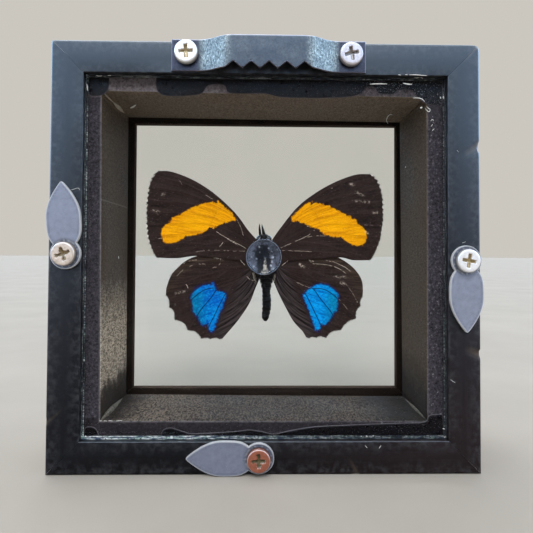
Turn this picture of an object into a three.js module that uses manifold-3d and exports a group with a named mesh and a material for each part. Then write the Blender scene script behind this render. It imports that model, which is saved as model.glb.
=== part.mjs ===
// A small double-glass shadow-box frame with a spread butterfly inside, in millimetres, +Z up.
// The back of the frame, with its hanger and turn buttons, faces -Y and the display side faces +Y.
// The origin is the middle of the bottom face, on which the frame stands.

import * as THREE from 'three';
import { mergeVertices } from 'three/addons/utils/BufferGeometryUtils.js';
import Module from 'manifold-3d';

const wasm = await Module();
wasm.setup();

// ---- driving dimensions -------------------------------------------------------------------

const FRAME_SIDE = 100;
const FRAME_DEPTH = 32.5;
const BACK_WIDTH = 7.6;        // width of a bar seen from behind
const LIP_WIDTH = 12;          // width of a bar seen from the front
const LIP_THICKNESS = 3.3;
const EDGE_CHAMFER = 0.45;

const PANE_THICKNESS = 2;
const PANE_RECESS = 1.2;       // how far the rear pane sits below the back of the frame
const SEALANT_THICKNESS = 0.3;
const LINER_THICKNESS = 3.15;
const FIT = 0.05;              // play between neighbouring pieces

const POST_DIAMETER = 8.5;
const SPECIMEN_DEPTH = 15;     // the wings' plane, from the back of the frame

const HANGER_THICKNESS = 0.6;
const HANGER_LIFT = 2;         // how far the toothed middle stands off the wood
const TOOTH_PITCH = 4.08;

const BUTTON_THICKNESS = 1;
const BUTTON_GAP = 0.1;        // play above and below a turn button
const SHANK_RADIUS = 1.1;
const SHANK_CLEARANCE = 0.08;
const SHANK_LENGTH = 6;
const HEAD_RADIUS = 2.75;
const HEAD_HEIGHT = 1.5;

// ---- derived dimensions -------------------------------------------------------------------

const HALF = FRAME_SIDE / 2;
const REBATE = HALF - BACK_WIDTH;
const WINDOW = HALF - LIP_WIDTH;
const LINER_OUTER = REBATE - FIT;
const LINER_INNER = LINER_OUTER - LINER_THICKNESS;
const LIP_DEPTH = FRAME_DEPTH - LIP_THICKNESS;
const LINER_BACK = PANE_RECESS + PANE_THICKNESS + SEALANT_THICKNESS;
const LINER_FRONT = LIP_DEPTH - PANE_THICKNESS - 2 * FIT;
const POST_BACK = PANE_RECESS + PANE_THICKNESS + FIT;

// Screw places: X, and Z from the middle of the frame.
const HANGER_SCREWS = { left: [-18.6, 46.9], right: [19.5, 46.8] };
const BUTTON_SCREWS = { left: [-45.7, 0.4], right: [46.3, -0.8], bottom: [-1.4, -45.93] };
// Each button's leaf points this many degrees anticlockwise from +X, seen from behind.
const BUTTON_TURNS = { left: 94, right: 270.5, bottom: 180 };
const CROSS_TURNS = { hanger_left: 4, hanger_right: 12, left: 18, right: 5, bottom: 28 };

/** Y of a point that lies the given depth behind the back of the frame. */
function atDepth(depth) {
  return depth - FRAME_DEPTH / 2;
}

// ---- materials ----------------------------------------------------------------------------

function paint(color, roughness, metalness = 0) {
  return new THREE.MeshStandardMaterial({ color, roughness, metalness });
}

const blackWood = paint(0x22252b, 0.45);
const linerBoard = paint(0x3b3732, 0.8);
const glass = paint(0xbfd0d0, 0.05);
const clearPlastic = paint(0x8f9aae, 0.2);
const frostedPlastic = paint(0x9aa3b8, 0.35);
const zinc = paint(0x7e8c99, 0.4, 1);
const screwSteel = paint(0xd0ccc4, 0.35, 1);
const sealantBlack = paint(0x07080a, 0.2);
const glue = paint(0xcfc4ae, 0.4);
const wingBrown = paint(0x2a2120, 0.8);
const bodyBlack = paint(0x141110, 0.95);

// ---- solids -------------------------------------------------------------------------------

/** A manifold solid of a closed three.js geometry. */
function solidOf(geometry) {
  const bare = geometry.clone();
  bare.deleteAttribute('normal');
  bare.deleteAttribute('uv');
  const merged = mergeVertices(bare, 1e-4);
  return new wasm.Manifold(new wasm.Mesh({
    numProp: 3,
    vertProperties: Float32Array.from(merged.attributes.position.array),
    triVerts: Uint32Array.from(merged.index.array),
  }));
}

/** The three.js geometry of a manifold solid. */
function geometryOf(solid) {
  const mesh = solid.getMesh();
  const geometry = new THREE.BufferGeometry();
  geometry.setAttribute('position', new THREE.BufferAttribute(mesh.vertProperties, 3));
  geometry.setIndex(new THREE.BufferAttribute(mesh.triVerts, 1));
  geometry.computeVertexNormals();
  return geometry;
}

function cut(geometry, tools) {
  return geometryOf(tools.reduce((left, tool) => left.subtract(solidOf(tool)), solidOf(geometry)));
}

function fuse(geometries) {
  return geometryOf(geometries.map(solidOf).reduce((whole, next) => whole.add(next)));
}

function meshGeometry(points, faces) {
  const geometry = new THREE.BufferGeometry();
  geometry.setAttribute('position', new THREE.Float32BufferAttribute(points.flat(), 3));
  geometry.setIndex(faces.flat());
  geometry.computeVertexNormals();
  return geometry;
}

function addMesh(group, name, geometry, material, position = [0, 0, 0]) {
  const mesh = new THREE.Mesh(geometry, material);
  mesh.name = name;
  mesh.position.set(...position);
  group.add(mesh);
  return mesh;
}

// ---- frame bars ---------------------------------------------------------------------------

const SIDE_TURNS = { bottom: 0, left: Math.PI / 2, right: -Math.PI / 2, top: Math.PI };
const Y_AXIS = new THREE.Vector3(0, 1, 0);

/**
 * A bar with mitred ends, as the bottom one of four round the middle of a square.
 * The profile holds [distance from the middle, depth from the back] pairs.
 */
function mitredBar(profile) {
  const shape = new THREE.Shape(profile.map(([out, depth]) => new THREE.Vector2(out, atDepth(depth))));
  const geometry = new THREE.ExtrudeGeometry(shape, { depth: 1, bevelEnabled: false });
  const position = geometry.attributes.position;
  for (let i = 0; i < position.count; i += 1) {
    const out = position.getX(i);
    const halfLength = out - FIT / 2;
    const end = position.getZ(i) * 2 - 1;
    position.setXYZ(i, end * halfLength, position.getY(i), -out);
  }
  return geometry;
}

function mouldingProfile() {
  const c = EDGE_CHAMFER;
  return [
    [REBATE, 0], [HALF - c, 0], [HALF, c], [HALF, FRAME_DEPTH - c], [HALF - c, FRAME_DEPTH],
    [WINDOW + c, FRAME_DEPTH], [WINDOW, FRAME_DEPTH - c], [WINDOW, LIP_DEPTH], [REBATE, LIP_DEPTH],
  ];
}

function linerProfile() {
  return [
    [LINER_INNER, LINER_BACK], [LINER_OUTER, LINER_BACK],
    [LINER_OUTER, LINER_FRONT], [LINER_INNER, LINER_FRONT],
  ];
}

/** The hole that a screw's shank takes in a bar that is turned round the frame's middle. */
function pilotHole([x, z], turn) {
  const radius = SHANK_RADIUS + FIT;
  const length = SHANK_LENGTH + 2;
  const hole = new THREE.CylinderGeometry(radius, radius, length, 16);
  const place = new THREE.Vector3(x, 0, z).applyAxisAngle(Y_AXIS, -turn);
  hole.translate(place.x, atDepth(SHANK_LENGTH - length / 2 + 0.5), place.z);
  return hole;
}

function addBars(group) {
  const screws = {
    top: Object.values(HANGER_SCREWS),
    bottom: [BUTTON_SCREWS.bottom],
    left: [BUTTON_SCREWS.left],
    right: [BUTTON_SCREWS.right],
  };
  for (const [side, turn] of Object.entries(SIDE_TURNS)) {
    const holes = screws[side].map((place) => pilotHole(place, turn));
    const moulding = addMesh(group, `moulding_${side}`, cut(mitredBar(mouldingProfile()), holes), blackWood);
    moulding.rotation.y = turn;
    const liner = addMesh(group, `liner_${side}`, mitredBar(linerProfile()), linerBoard);
    liner.rotation.y = turn;
  }
}

// ---- panes and sealant --------------------------------------------------------------------

function addPanes(group) {
  const side = 2 * (REBATE - 2 * FIT);
  const pane = new THREE.BoxGeometry(side, PANE_THICKNESS, side);
  addMesh(group, 'rear_pane', pane, glass, [0, atDepth(PANE_RECESS + PANE_THICKNESS / 2), 0]);
  addMesh(group, 'front_pane', pane, glass, [0, atDepth(LIP_DEPTH - FIT - PANE_THICKNESS / 2), 0]);
}

// Lower or upper limits of the squeezed-out sealant: X and Z from the middle of the frame.
const SEALANT_RUNS = {
  sealant_top: [
    [-26.3, 42.1], [-26.1, 39.4], [-24.7, 38.1], [-21.8, 37.8], [-18.3, 38], [-15.4, 38.6], [-13.8, 40.5],
    [-10.2, 40.6], [-9.2, 38.9], [-6.4, 38.6], [-0.7, 38.7], [3.2, 37.9], [10, 37.7], [18.8, 38],
    [22.4, 38.9], [23.8, 40.4], [25.7, 40.4], [26.9, 39], [30.1, 38.8], [31.5, 39.8], [34.7, 39.7],
    [35.9, 38.2], [38, 36.7], [40.2, 36.3], [41.9, 36.6], [42.1, 42.1],
  ],
  sealant_top_left: [
    [-42.1, 42.1], [-42.1, 38.3], [-40.5, 37.7], [-38.6, 38.1], [-37.5, 39.3], [-37.2, 42.1],
  ],
  sealant_bottom: [
    [42.1, -42.1], [41.9, -37.4], [40.5, -37.1], [38.6, -37.4], [37.6, -38.8], [31.9, -39.1],
    [22.7, -39.4], [11.8, -39.9], [5.4, -40.9], [2.1, -41.6], [-0.7, -41], [-3.5, -40.6], [-6.3, -40.9],
    [-10.6, -41.2], [-14.6, -41.4], [-17.6, -41.4], [-19.9, -40.7], [-22, -40.1], [-23.7, -40.6], [-24.4, -42.1],
  ],
  sealant_bottom_left: [
    [-38.7, -42.1], [-38.8, -41.3], [-39.5, -40.2], [-40.7, -39.8], [-41.9, -40.2], [-42.1, -42.1],
  ],
};

/** A flat piece of the given [x, z] outline, standing in the XZ plane between two depths. */
function flatPiece(outline, backDepth, frontDepth) {
  const shape = new THREE.Shape(outline.map(([x, z]) => new THREE.Vector2(x, z)));
  const geometry = new THREE.ExtrudeGeometry(shape, { depth: frontDepth - backDepth, bevelEnabled: false });
  geometry.rotateX(Math.PI / 2);
  geometry.translate(0, atDepth(frontDepth), 0);
  return geometry;
}

function addSealant(group) {
  for (const [name, outline] of Object.entries(SEALANT_RUNS)) {
    addMesh(group, name, flatPiece(outline, POST_BACK - FIT / 2, LINER_BACK - FIT / 2), sealantBlack);
  }
}

// ---- screws, hanger and turn buttons ------------------------------------------------------

/** A pan-head screw along Y, its head towards -Y, its head's underside at y = 0. */
function screwGeometry(crossTurn) {
  const profile = new THREE.Path();
  profile.moveTo(0, -HEAD_HEIGHT);
  profile.quadraticCurveTo(HEAD_RADIUS * 0.85, -HEAD_HEIGHT, HEAD_RADIUS, -0.35);
  profile.lineTo(HEAD_RADIUS, 0);
  profile.lineTo(SHANK_RADIUS, 0);
  profile.lineTo(SHANK_RADIUS, SHANK_LENGTH - 1);
  profile.lineTo(0, SHANK_LENGTH);
  const screw = new THREE.LatheGeometry(profile.getPoints(4), 20);
  return cut(screw, crossBlades(crossTurn));
}

/** The two tapered blades of a cross recess. */
function crossBlades(turn) {
  const recessDepth = 1;
  return [0, 90].map((quarter) => {
    const blade = new THREE.CylinderGeometry(0.9, 1.75, recessDepth + 0.5, 4);
    blade.rotateY(Math.PI / 4);
    blade.scale(1, 1, 0.3);
    blade.translate(0, recessDepth / 2 - 0.25 - HEAD_HEIGHT, 0);
    blade.rotateY(-THREE.MathUtils.degToRad(turn + quarter));
    return blade;
  });
}

// Outline of the hanger from its left end to its right end: x, lower edge z, upper edge z and
// the share of the full lift. Z is from the middle of the frame.
function hangerStations() {
  const stations = [
    [-22.55, 42.8, 50.1, 0], [-16.2, 42.8, 50.05, 0], [-15, 42.85, 50.05, 0.08], [-13.2, 42.95, 50.2, 0.35],
    [-11, 43.15, 50.4, 0.78], [-10, 43.3, 50.5, 0.93],
  ];
  const middle = [];
  for (let tooth = -2; tooth <= 2; tooth += 1) {
    middle.push([tooth * TOOTH_PITCH, 44.7, 50.6, 1]);
    if (tooth < 2) {
      middle.push([(tooth + 0.5) * TOOTH_PITCH, 43, 50.6, 1]);
    }
  }
  const mirrored = stations.map(([x, low, high, lift]) => [-x, low, high, lift]).reverse();
  return [...stations, ...middle, ...mirrored];
}

function hangerGeometry(centreX) {
  const back = -BUTTON_GAP / 2;
  const points = hangerStations().flatMap(([x, low, high, lift]) => {
    const near = back - HANGER_LIFT * lift;
    const far = near - HANGER_THICKNESS;
    return [[x, near, low], [x, near, high], [x, far, high], [x, far, low]];
  });
  const sections = points.length / 4;
  const faces = [[0, 2, 1], [0, 3, 2]];
  for (let s = 0; s < sections - 1; s += 1) {
    for (let k = 0; k < 4; k += 1) {
      const a = s * 4 + k;
      const b = s * 4 + (k + 1) % 4;
      faces.push([a, b + 4, a + 4], [a, b, b + 4]);
    }
  }
  const last = (sections - 1) * 4;
  faces.push([last, last + 1, last + 2], [last, last + 2, last + 3]);
  const holes = Object.values(HANGER_SCREWS).map(([x, z]) => {
    const hole = new THREE.CylinderGeometry(SHANK_RADIUS + 0.2, SHANK_RADIUS + 0.2, 4, 16);
    hole.translate(x - centreX, 0, z);
    return hole;
  });
  return cut(meshGeometry(points, faces), holes);
}

function addHanger(group) {
  const centreX = 0.45;
  addMesh(group, 'hanger', hangerGeometry(centreX), zinc, [centreX, atDepth(0), 0]);
  const headSeat = atDepth(-BUTTON_GAP - HANGER_THICKNESS);
  for (const [side, [x, z]] of Object.entries(HANGER_SCREWS)) {
    const geometry = screwGeometry(CROSS_TURNS[`hanger_${side}`]);
    addMesh(group, `hanger_screw_${side}`, geometry, screwSteel, [x, headSeat, z]);
  }
}

/** A leaf-shaped blade with a round eye on the Y axis, pointing along +X, just behind the frame. */
function buttonGeometry() {
  const waistX = 2.3;
  const waistZ = 2.65;
  const eye = Math.hypot(waistX, waistZ);
  const widestX = 8.4;
  const widestZ = 3.95;
  const tipX = 16.6;
  const shape = new THREE.Shape();
  shape.moveTo(waistX, waistZ);
  shape.bezierCurveTo(waistX + 1.6, widestZ, widestX - 3.2, widestZ, widestX, widestZ);
  shape.bezierCurveTo(widestX + 3.4, widestZ, tipX - 1.6, 1.5, tipX, 0.25);
  shape.lineTo(tipX, -0.25);
  shape.bezierCurveTo(tipX - 1.6, -1.5, widestX + 3.4, -widestZ, widestX, -widestZ);
  shape.bezierCurveTo(widestX - 3.2, -widestZ, waistX + 1.6, -widestZ, waistX, -waistZ);
  const start = Math.atan2(waistZ, waistX);
  shape.absarc(0, 0, eye, -start, start, true);
  const outline = shape.getPoints(9).slice(0, -1).map(({ x, y }) => [x, y]);
  const blade = flatPiece(outline, -BUTTON_GAP - BUTTON_THICKNESS, -BUTTON_GAP);
  const holeRadius = SHANK_RADIUS + SHANK_CLEARANCE;
  const hole = new THREE.CylinderGeometry(holeRadius, holeRadius, 3 * BUTTON_THICKNESS, 24);
  hole.translate(0, atDepth(-BUTTON_GAP), 0);
  return cut(blade, [hole]);
}

function addTurnButtons(group) {
  for (const [side, [x, z]] of Object.entries(BUTTON_SCREWS)) {
    const button = addMesh(group, `turn_button_${side}`, buttonGeometry(), frostedPlastic, [x, 0, z]);
    button.rotation.y = -THREE.MathUtils.degToRad(BUTTON_TURNS[side]);
    const headSeat = atDepth(-BUTTON_THICKNESS - 2 * BUTTON_GAP);
    addMesh(group, `button_screw_${side}`, screwGeometry(CROSS_TURNS[side]), screwSteel, [x, headSeat, z]);
  }
}

// ---- butterfly ----------------------------------------------------------------------------

// Wing outlines from the root along the leading edge: X and Z from the middle of the frame.
const FOREWING_LEFT = [
  [-1.2, 3], [-4.4, 6.4], [-7.9, 11], [-13.2, 15.9], [-18.7, 19.4], [-24.2, 21.5], [-27.5, 21.7],
  [-29.4, 19.6], [-30.4, 15.2], [-30.6, 9.6], [-30.2, 4.6], [-28.9, 1], [-27.4, -0.6], [-22.7, -0.7],
  [-17.8, -0.1], [-12, -0.7], [-6.5, -1.1], [-1.2, -1.3],
];
const FOREWING_RIGHT = [
  [1, 3.2], [3.6, 7], [8, 12.5], [12.6, 16.2], [17.9, 19.2], [23.1, 21.1], [26.7, 21.3],
  [29, 19.3], [30.1, 15.1], [30.3, 10], [29.7, 5.1], [28.6, 1.9], [26.7, -1], [22.5, -1],
  [18.9, -0.3], [12, -0.8], [6.5, -1.2], [1, -1.4],
];
const HINDWING_LEFT = {
  leading: [[-1.2, -0.8], [-8, 0.5], [-13, 0.4], [-17.6, -0.1], [-20.9, -1.6], [-24.1, -4.8], [-25.5, -8.4]],
  teeth: [
    [-25.6, -10.2], [-24.7, -13.2], [-23.2, -16.4], [-19.9, -19.1],
    [-16.4, -21.3], [-14.1, -21.4], [-11.9, -21.5], [-11, -21.3],
  ],
  trailing: [[-9.8, -19.9], [-7.4, -17.1], [-5, -13.7], [-3.7, -11.3], [-2.7, -8.6], [-1.2, -5]],
};
const HINDWING_RIGHT = {
  leading: [[1.2, -0.8], [8, 0.5], [13, 0.4], [18.2, -0.1], [22.5, -2.8], [24.8, -6], [25.2, -9]],
  teeth: [
    [25.1, -10.4], [24.5, -12.8], [23.3, -16.1], [19.5, -19],
    [15.6, -21], [13.1, -21], [11.2, -21.2], [10.5, -20.9],
  ],
  trailing: [[9.6, -19.4], [7.2, -16.8], [5.1, -13.1], [3.7, -10.4], [2.7, -8.2], [1.4, -5]],
};
const WING_THICKNESS = 0.22;
const WING_RINGS = 4;
const WING_STAGGER = 0.25;     // each wing's offset from the specimen's plane, so fore lies over hind
const WING_RISE = 0.02;        // how far the wings rise towards the back, per mm of span

function vectors(points) {
  return points.map(([x, z]) => new THREE.Vector2(x, z));
}

/** Concave scallops between the pointed teeth of a wing's margin. */
function scallops(teeth, hollow) {
  const tips = vectors(teeth);
  return tips.slice(0, -1).flatMap((tip, i) => {
    const next = tips[i + 1];
    const middle = tip.clone().lerp(next, 0.5);
    const inward = middle.clone().multiplyScalar(-1).normalize();
    const control = middle.addScaledVector(inward, 2 * hollow * Math.min(1, tip.distanceTo(next) / 4));
    return new THREE.QuadraticBezierCurve(tip, control, next).getPoints(4).slice(0, -1);
  });
}

function forewingOutline(points) {
  return new THREE.SplineCurve(vectors(points)).getPoints(3 * (points.length - 1));
}

function hindwingOutline({ leading, teeth, trailing }) {
  const front = new THREE.SplineCurve(vectors(leading)).getPoints(14);
  const back = new THREE.SplineCurve(vectors(trailing)).getPoints(10);
  return [...front, ...scallops(teeth, 0.6), new THREE.Vector2(...teeth.at(-1)), ...back];
}

/** Depth of the wings' middle surface at X, before the stagger. */
function wingDepth(x) {
  return SPECIMEN_DEPTH - WING_RISE * Math.abs(x);
}

/** A thin wing: rings between its root and its outline, in two layers joined at the margin. */
function wingGeometry(outline, root, stagger) {
  const ring = THREE.ShapeUtils.isClockWise(outline) ? outline.slice().reverse() : outline;
  const count = ring.length;
  const points = [];
  const faces = [];
  for (const side of [-1, 1]) {
    const layer = points.length;
    const put = (p) => {
      points.push([p.x, atDepth(wingDepth(p.x) + stagger + side * WING_THICKNESS / 2), p.y]);
    };
    const face = (a, b, c) => {
      faces.push(side < 0 ? [a, b, c] : [a, c, b]);
    };
    put(root);
    for (let r = 1; r <= WING_RINGS; r += 1) {
      ring.forEach((edge) => put(root.clone().lerp(edge, r / WING_RINGS)));
    }
    for (let i = 0; i < count; i += 1) {
      const j = (i + 1) % count;
      face(layer, layer + 1 + i, layer + 1 + j);
      for (let r = 0; r < WING_RINGS - 1; r += 1) {
        const inner = layer + 1 + r * count;
        const outer = inner + count;
        face(inner + i, outer + i, outer + j);
        face(inner + i, outer + j, inner + j);
      }
    }
  }
  const back = 1 + (WING_RINGS - 1) * count;
  const front = back + points.length / 2;
  for (let i = 0; i < count; i += 1) {
    const j = (i + 1) % count;
    faces.push([back + i, front + i, front + j], [back + i, front + j, back + j]);
  }
  return meshGeometry(points, faces);
}

function addWings(group) {
  const seat = bodyGeometry(FIT);
  seat.translate(0, atDepth(SPECIMEN_DEPTH), 0);
  const wings = {
    forewing_left: [forewingOutline(FOREWING_LEFT), [-4, 1], -WING_STAGGER],
    forewing_right: [forewingOutline(FOREWING_RIGHT), [4, 1], -WING_STAGGER],
    hindwing_left: [hindwingOutline(HINDWING_LEFT), [-4, -3], WING_STAGGER],
    hindwing_right: [hindwingOutline(HINDWING_RIGHT), [4, -3], WING_STAGGER],
  };
  for (const [name, [outline, root, stagger]] of Object.entries(wings)) {
    const wing = wingGeometry(outline, new THREE.Vector2(...root), stagger);
    addMesh(group, name, cut(wing, [seat]), wingBrown);
  }
}

function ellipsoid(centre, radii, across, along) {
  const geometry = new THREE.SphereGeometry(1, across, along);
  geometry.rotateX(Math.PI / 2);
  geometry.scale(...radii);
  geometry.translate(...centre);
  return geometry;
}

/** A closed round-sectioned limb through [x, y, z, radius] stations. */
function limb(stations, sides) {
  const centres = stations.map(([x, y, z]) => new THREE.Vector3(x, y, z));
  const points = [];
  const faces = [];
  stations.forEach((station, s) => {
    const before = centres[Math.max(s - 1, 0)];
    const after = centres[Math.min(s + 1, centres.length - 1)];
    const along = after.clone().sub(before).normalize();
    const turn = new THREE.Quaternion().setFromUnitVectors(new THREE.Vector3(0, 0, 1), along);
    for (let k = 0; k < sides; k += 1) {
      const angle = (2 * Math.PI * k) / sides;
      const spoke = new THREE.Vector3(Math.cos(angle), Math.sin(angle), 0).multiplyScalar(station[3]);
      points.push(spoke.applyQuaternion(turn).add(centres[s]).toArray());
    }
  });
  for (let s = 0; s < stations.length - 1; s += 1) {
    for (let k = 0; k < sides; k += 1) {
      const a = s * sides + k;
      const b = s * sides + (k + 1) % sides;
      faces.push([a, b, b + sides], [a, b + sides, a + sides]);
    }
  }
  const last = (stations.length - 1) * sides;
  for (let k = 1; k < sides - 1; k += 1) {
    faces.push([0, k + 1, k], [last, last + k, last + k + 1]);
  }
  return meshGeometry(points, faces);
}

const THORAX_RADII = [2.5, 2.2, 5];
/** Stations of the abdomen: X, Z and radius, from the thorax down to the tip. */
const ABDOMEN = [
  [0.2, -2.5, 1.9], [0.2, -5, 2], [0.2, -7, 1.5], [0.15, -9, 1.05], [0.3, -11, 1.15], [0.3, -13, 1.12],
  [0.15, -14.6, 1], [0, -16, 0.95], [0, -16.8, 0.75], [0, -17.1, 0.3],
];

/** The body round the origin, with every surface moved out by the given swell. */
function bodyGeometry(swell = 0) {
  const thorax = ellipsoid([0, 0, -0.3], THORAX_RADII.map((radius) => radius + swell), 18, 12);
  const head = ellipsoid([-0.5, 0, 4.4], [1.4 + swell, 1.4 + swell, 1.4 + swell], 12, 8);
  const eyes = [-1.65, 0.65].map((x) => ellipsoid([x, 0, 4.3], [1 + swell, 1.05 + swell, 1 + swell], 10, 6));
  const swollen = (stations) => stations.map(([x, y, z, radius]) => [x, y, z, radius + swell]);
  const palps = [
    limb(swollen([[-1.3, 0, 4.6, 0.5], [-1.45, 0, 6.2, 0.42], [-1.7, -0.2, 8.2, 0.12]]), 7),
    limb(swollen([[-0.3, 0, 4.6, 0.5], [-0.45, 0, 6.2, 0.42], [-1.05, -0.2, 8.2, 0.12]]), 7),
  ];
  const abdomen = limb(swollen(ABDOMEN.map(([x, z, radius]) => [x, 0, z, radius])), 12);
  const legs = [-1, 1].flatMap((side) => [2.2, -1.2].map((z) => limb(swollen([
    [side * 0.9, 1.4, z, 0.4], [side * 2.4, 2.9, z + 0.6, 0.32],
    [side * 1.3, 3.5, z - 2.6, 0.24], [side * 0.9, 3.2, z - 5.4, 0.13],
  ]), 6)));
  return fuse([thorax, head, ...eyes, ...palps, abdomen, ...legs]);
}

const GLUE_LAYER = 0.15;
const POST_FRONT = SPECIMEN_DEPTH - THORAX_RADII[1] - GLUE_LAYER;
const POST_PLACE = [-0.5, -0.2];

function addSpecimen(group) {
  addMesh(group, 'body', bodyGeometry(), bodyBlack, [0, atDepth(SPECIMEN_DEPTH), 0]);
  addWings(group);
  const length = POST_FRONT - POST_BACK;
  const [x, z] = POST_PLACE;
  const post = new THREE.CylinderGeometry(POST_DIAMETER / 2, POST_DIAMETER / 2, length, 48);
  addMesh(group, 'mounting_post', post, clearPlastic, [x, atDepth(POST_BACK + length / 2), z]);
  addMesh(group, 'glue_dab', glueGeometry(), glue);
}

/** A dab of glue spread on the post's end, shaped to the thorax that sits in it. */
function glueGeometry() {
  const height = 0.8;
  const dab = new THREE.CylinderGeometry(1.5, 1.8, height, 16);
  dab.scale(1, 1, 1.7);
  dab.translate(0.1, atDepth(POST_FRONT + FIT + height / 2), -0.5);
  const bed = bodyGeometry(FIT);
  bed.translate(0, atDepth(SPECIMEN_DEPTH), 0);
  return cut(dab, [bed]);
}

// ---- the whole ----------------------------------------------------------------------------

const group = new THREE.Group();
const middle = new THREE.Group();
middle.position.z = HALF;
group.add(middle);
addBars(middle);
addPanes(middle);
addSealant(middle);
addHanger(middle);
addTurnButtons(middle);
addSpecimen(middle);

export default group;
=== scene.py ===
import math

import bpy
import numpy as np
from mathutils import Matrix, Vector, noise
from mathutils.geometry import delaunay_2d_cdt


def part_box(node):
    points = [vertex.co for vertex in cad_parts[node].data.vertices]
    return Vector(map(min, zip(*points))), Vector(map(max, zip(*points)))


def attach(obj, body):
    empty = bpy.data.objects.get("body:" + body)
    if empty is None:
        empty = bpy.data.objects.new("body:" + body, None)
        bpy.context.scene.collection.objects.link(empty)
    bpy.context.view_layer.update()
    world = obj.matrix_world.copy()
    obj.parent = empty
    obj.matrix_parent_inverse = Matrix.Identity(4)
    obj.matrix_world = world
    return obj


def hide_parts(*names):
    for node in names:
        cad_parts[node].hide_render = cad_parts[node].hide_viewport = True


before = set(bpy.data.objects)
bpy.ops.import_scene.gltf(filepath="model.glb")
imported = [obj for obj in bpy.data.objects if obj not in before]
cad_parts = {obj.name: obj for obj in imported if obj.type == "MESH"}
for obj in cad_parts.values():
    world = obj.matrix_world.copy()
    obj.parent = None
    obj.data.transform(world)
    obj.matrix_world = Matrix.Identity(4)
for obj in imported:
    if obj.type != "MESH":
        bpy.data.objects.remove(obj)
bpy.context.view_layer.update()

# Lengths are in millimetres and become metres where a mesh is made. X is to the right seen from
# behind, a depth is measured from the back of the frame towards the display side, and Z is up.
MM = 0.001
MIDDLE = 50.0
BACK_Y = -16.25


# ---- numbers and outlines -----------------------------------------------------------------------

def spline(points, steps):
    """A uniform Catmull-Rom curve through points."""
    p = np.array(points, float)
    made = []
    for i in range(len(p) - 1):
        before, start, end, after = p[max(i - 1, 0)], p[i], p[i + 1], p[min(i + 2, len(p) - 1)]
        leave, arrive = (end - before) / 2, (after - start) / 2
        for t in np.arange(steps) / steps:
            made.append((2 * start - 2 * end + leave + arrive) * t ** 3
                        + (3 * end - 3 * start - 2 * leave - arrive) * t ** 2 + leave * t + start)
    made.append(p[-1])
    return np.array(made)


def closed_spline(points, steps):
    """The same kind of curve round a ring of points, without a repeated end."""
    p = [points[-1], *points, points[0], points[1]]
    return spline(p, steps)[steps:-steps - 1]


def resample(line, spacing):
    """The same open line with points about spacing apart."""
    line = np.asarray(line, float)
    along = np.concatenate([[0], np.cumsum(np.linalg.norm(np.diff(line, axis=0), axis=1))])
    count = max(2, int(round(along[-1] / spacing)) + 1)
    at = np.linspace(0, along[-1], count)
    return np.column_stack([np.interp(at, along, line[:, k]) for k in range(line.shape[1])])


def closed(line):
    return np.vstack([line, line[:1]])


def distance_to_line(points, line):
    """Each point's shortest distance to an open line, and the share of the line's points before it."""
    start, step = line[:-1], np.diff(line, axis=0)
    length2 = np.maximum((step ** 2).sum(1), 1e-12)
    best = np.full(len(points), 1e9)
    share = np.zeros(len(points))
    for k in range(len(start)):
        t = np.clip(((points - start[k]) @ step[k]) / length2[k], 0, 1)
        gap = np.linalg.norm(points - start[k] - t[:, None] * step[k], axis=1)
        nearer = gap < best
        best[nearer] = gap[nearer]
        share[nearer] = (k + t[nearer]) / len(start)
    return best, share


def inside(points, polygon):
    x, z = points.T
    odd = np.zeros(len(points), bool)
    for (x0, z0), (x1, z1) in zip(polygon, np.roll(polygon, -1, 0)):
        if z0 != z1:
            odd ^= ((z0 > z) != (z1 > z)) & (x < (x1 - x0) * (z - z0) / (z1 - z0) + x0)
    return odd


def signed_distance(points, polygon):
    """Distance to a polygon's edge, positive inside it."""
    gap, _ = distance_to_line(points, closed(polygon))
    return np.where(inside(points, polygon), gap, -gap)


def smooth(t):
    t = np.clip(t, 0, 1)
    return t * t * (3 - 2 * t)


def wobble(points, scale, seed=0.0):
    """Smooth noise from -1 to 1 at each point."""
    return np.array([noise.noise(Vector(p) * scale + Vector((seed, 3 * seed, 7 * seed))) for p in points])


def nearest_line(points, lines):
    return np.min([distance_to_line(points, line)[0] for line in lines], axis=0)


def unit(vectors):
    """Vectors cut to a length of 1."""
    return vectors / np.maximum(np.linalg.norm(vectors, axis=1), 1e-9)[:, None]


def square_to(steps):
    """Unit vectors to the left of flat steps."""
    return unit(np.column_stack([-steps[:, 1], steps[:, 0]]))


def bell(gap, width):
    """1 at a gap of 0, fading over about a width."""
    return np.exp(-(gap / width) ** 2)


def rounding(gap, width):
    """From 0 at a rim to 1 at a width from it, along a quarter circle."""
    return np.sqrt(np.clip(1 - (1 - np.clip(gap / width, 0, 1)) ** 2, 0, 1))


def whole_turn(count):
    return np.linspace(0, 2 * math.pi, count + 1)[:-1]


def circle(radius, count, centre=(0, 0)):
    turn = whole_turn(count)
    return np.column_stack([radius * np.cos(turn), radius * np.sin(turn)]) + centre


# ---- meshes -------------------------------------------------------------------------------------

def make_mesh(name, points, faces, materials, attributes=None, face_materials=None, sharp_deg=40):
    """A smooth-shaded object from points in mm."""
    mesh = bpy.data.meshes.new(name)
    mesh.from_pydata((np.asarray(points, float) * MM).tolist(), [], [list(map(int, f)) for f in faces])
    for key, values in (attributes or {}).items():
        values = np.asarray(values, np.float32)
        kind, field = ("FLOAT", "value") if values.ndim == 1 else ("FLOAT_VECTOR", "vector")
        mesh.attributes.new(key, kind, "POINT").data.foreach_set(field, values.ravel())
    for material in materials:
        mesh.materials.append(material)
    if face_materials is not None:
        mesh.polygons.foreach_set("material_index", np.asarray(face_materials, np.int32))
    mesh.polygons.foreach_set("use_smooth", np.ones(len(mesh.polygons), bool))
    mesh.set_sharp_from_angle(angle=math.radians(sharp_deg))
    mesh.update()
    made = bpy.data.objects.new(name, mesh)
    bpy.context.scene.collection.objects.link(made)
    return made


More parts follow.
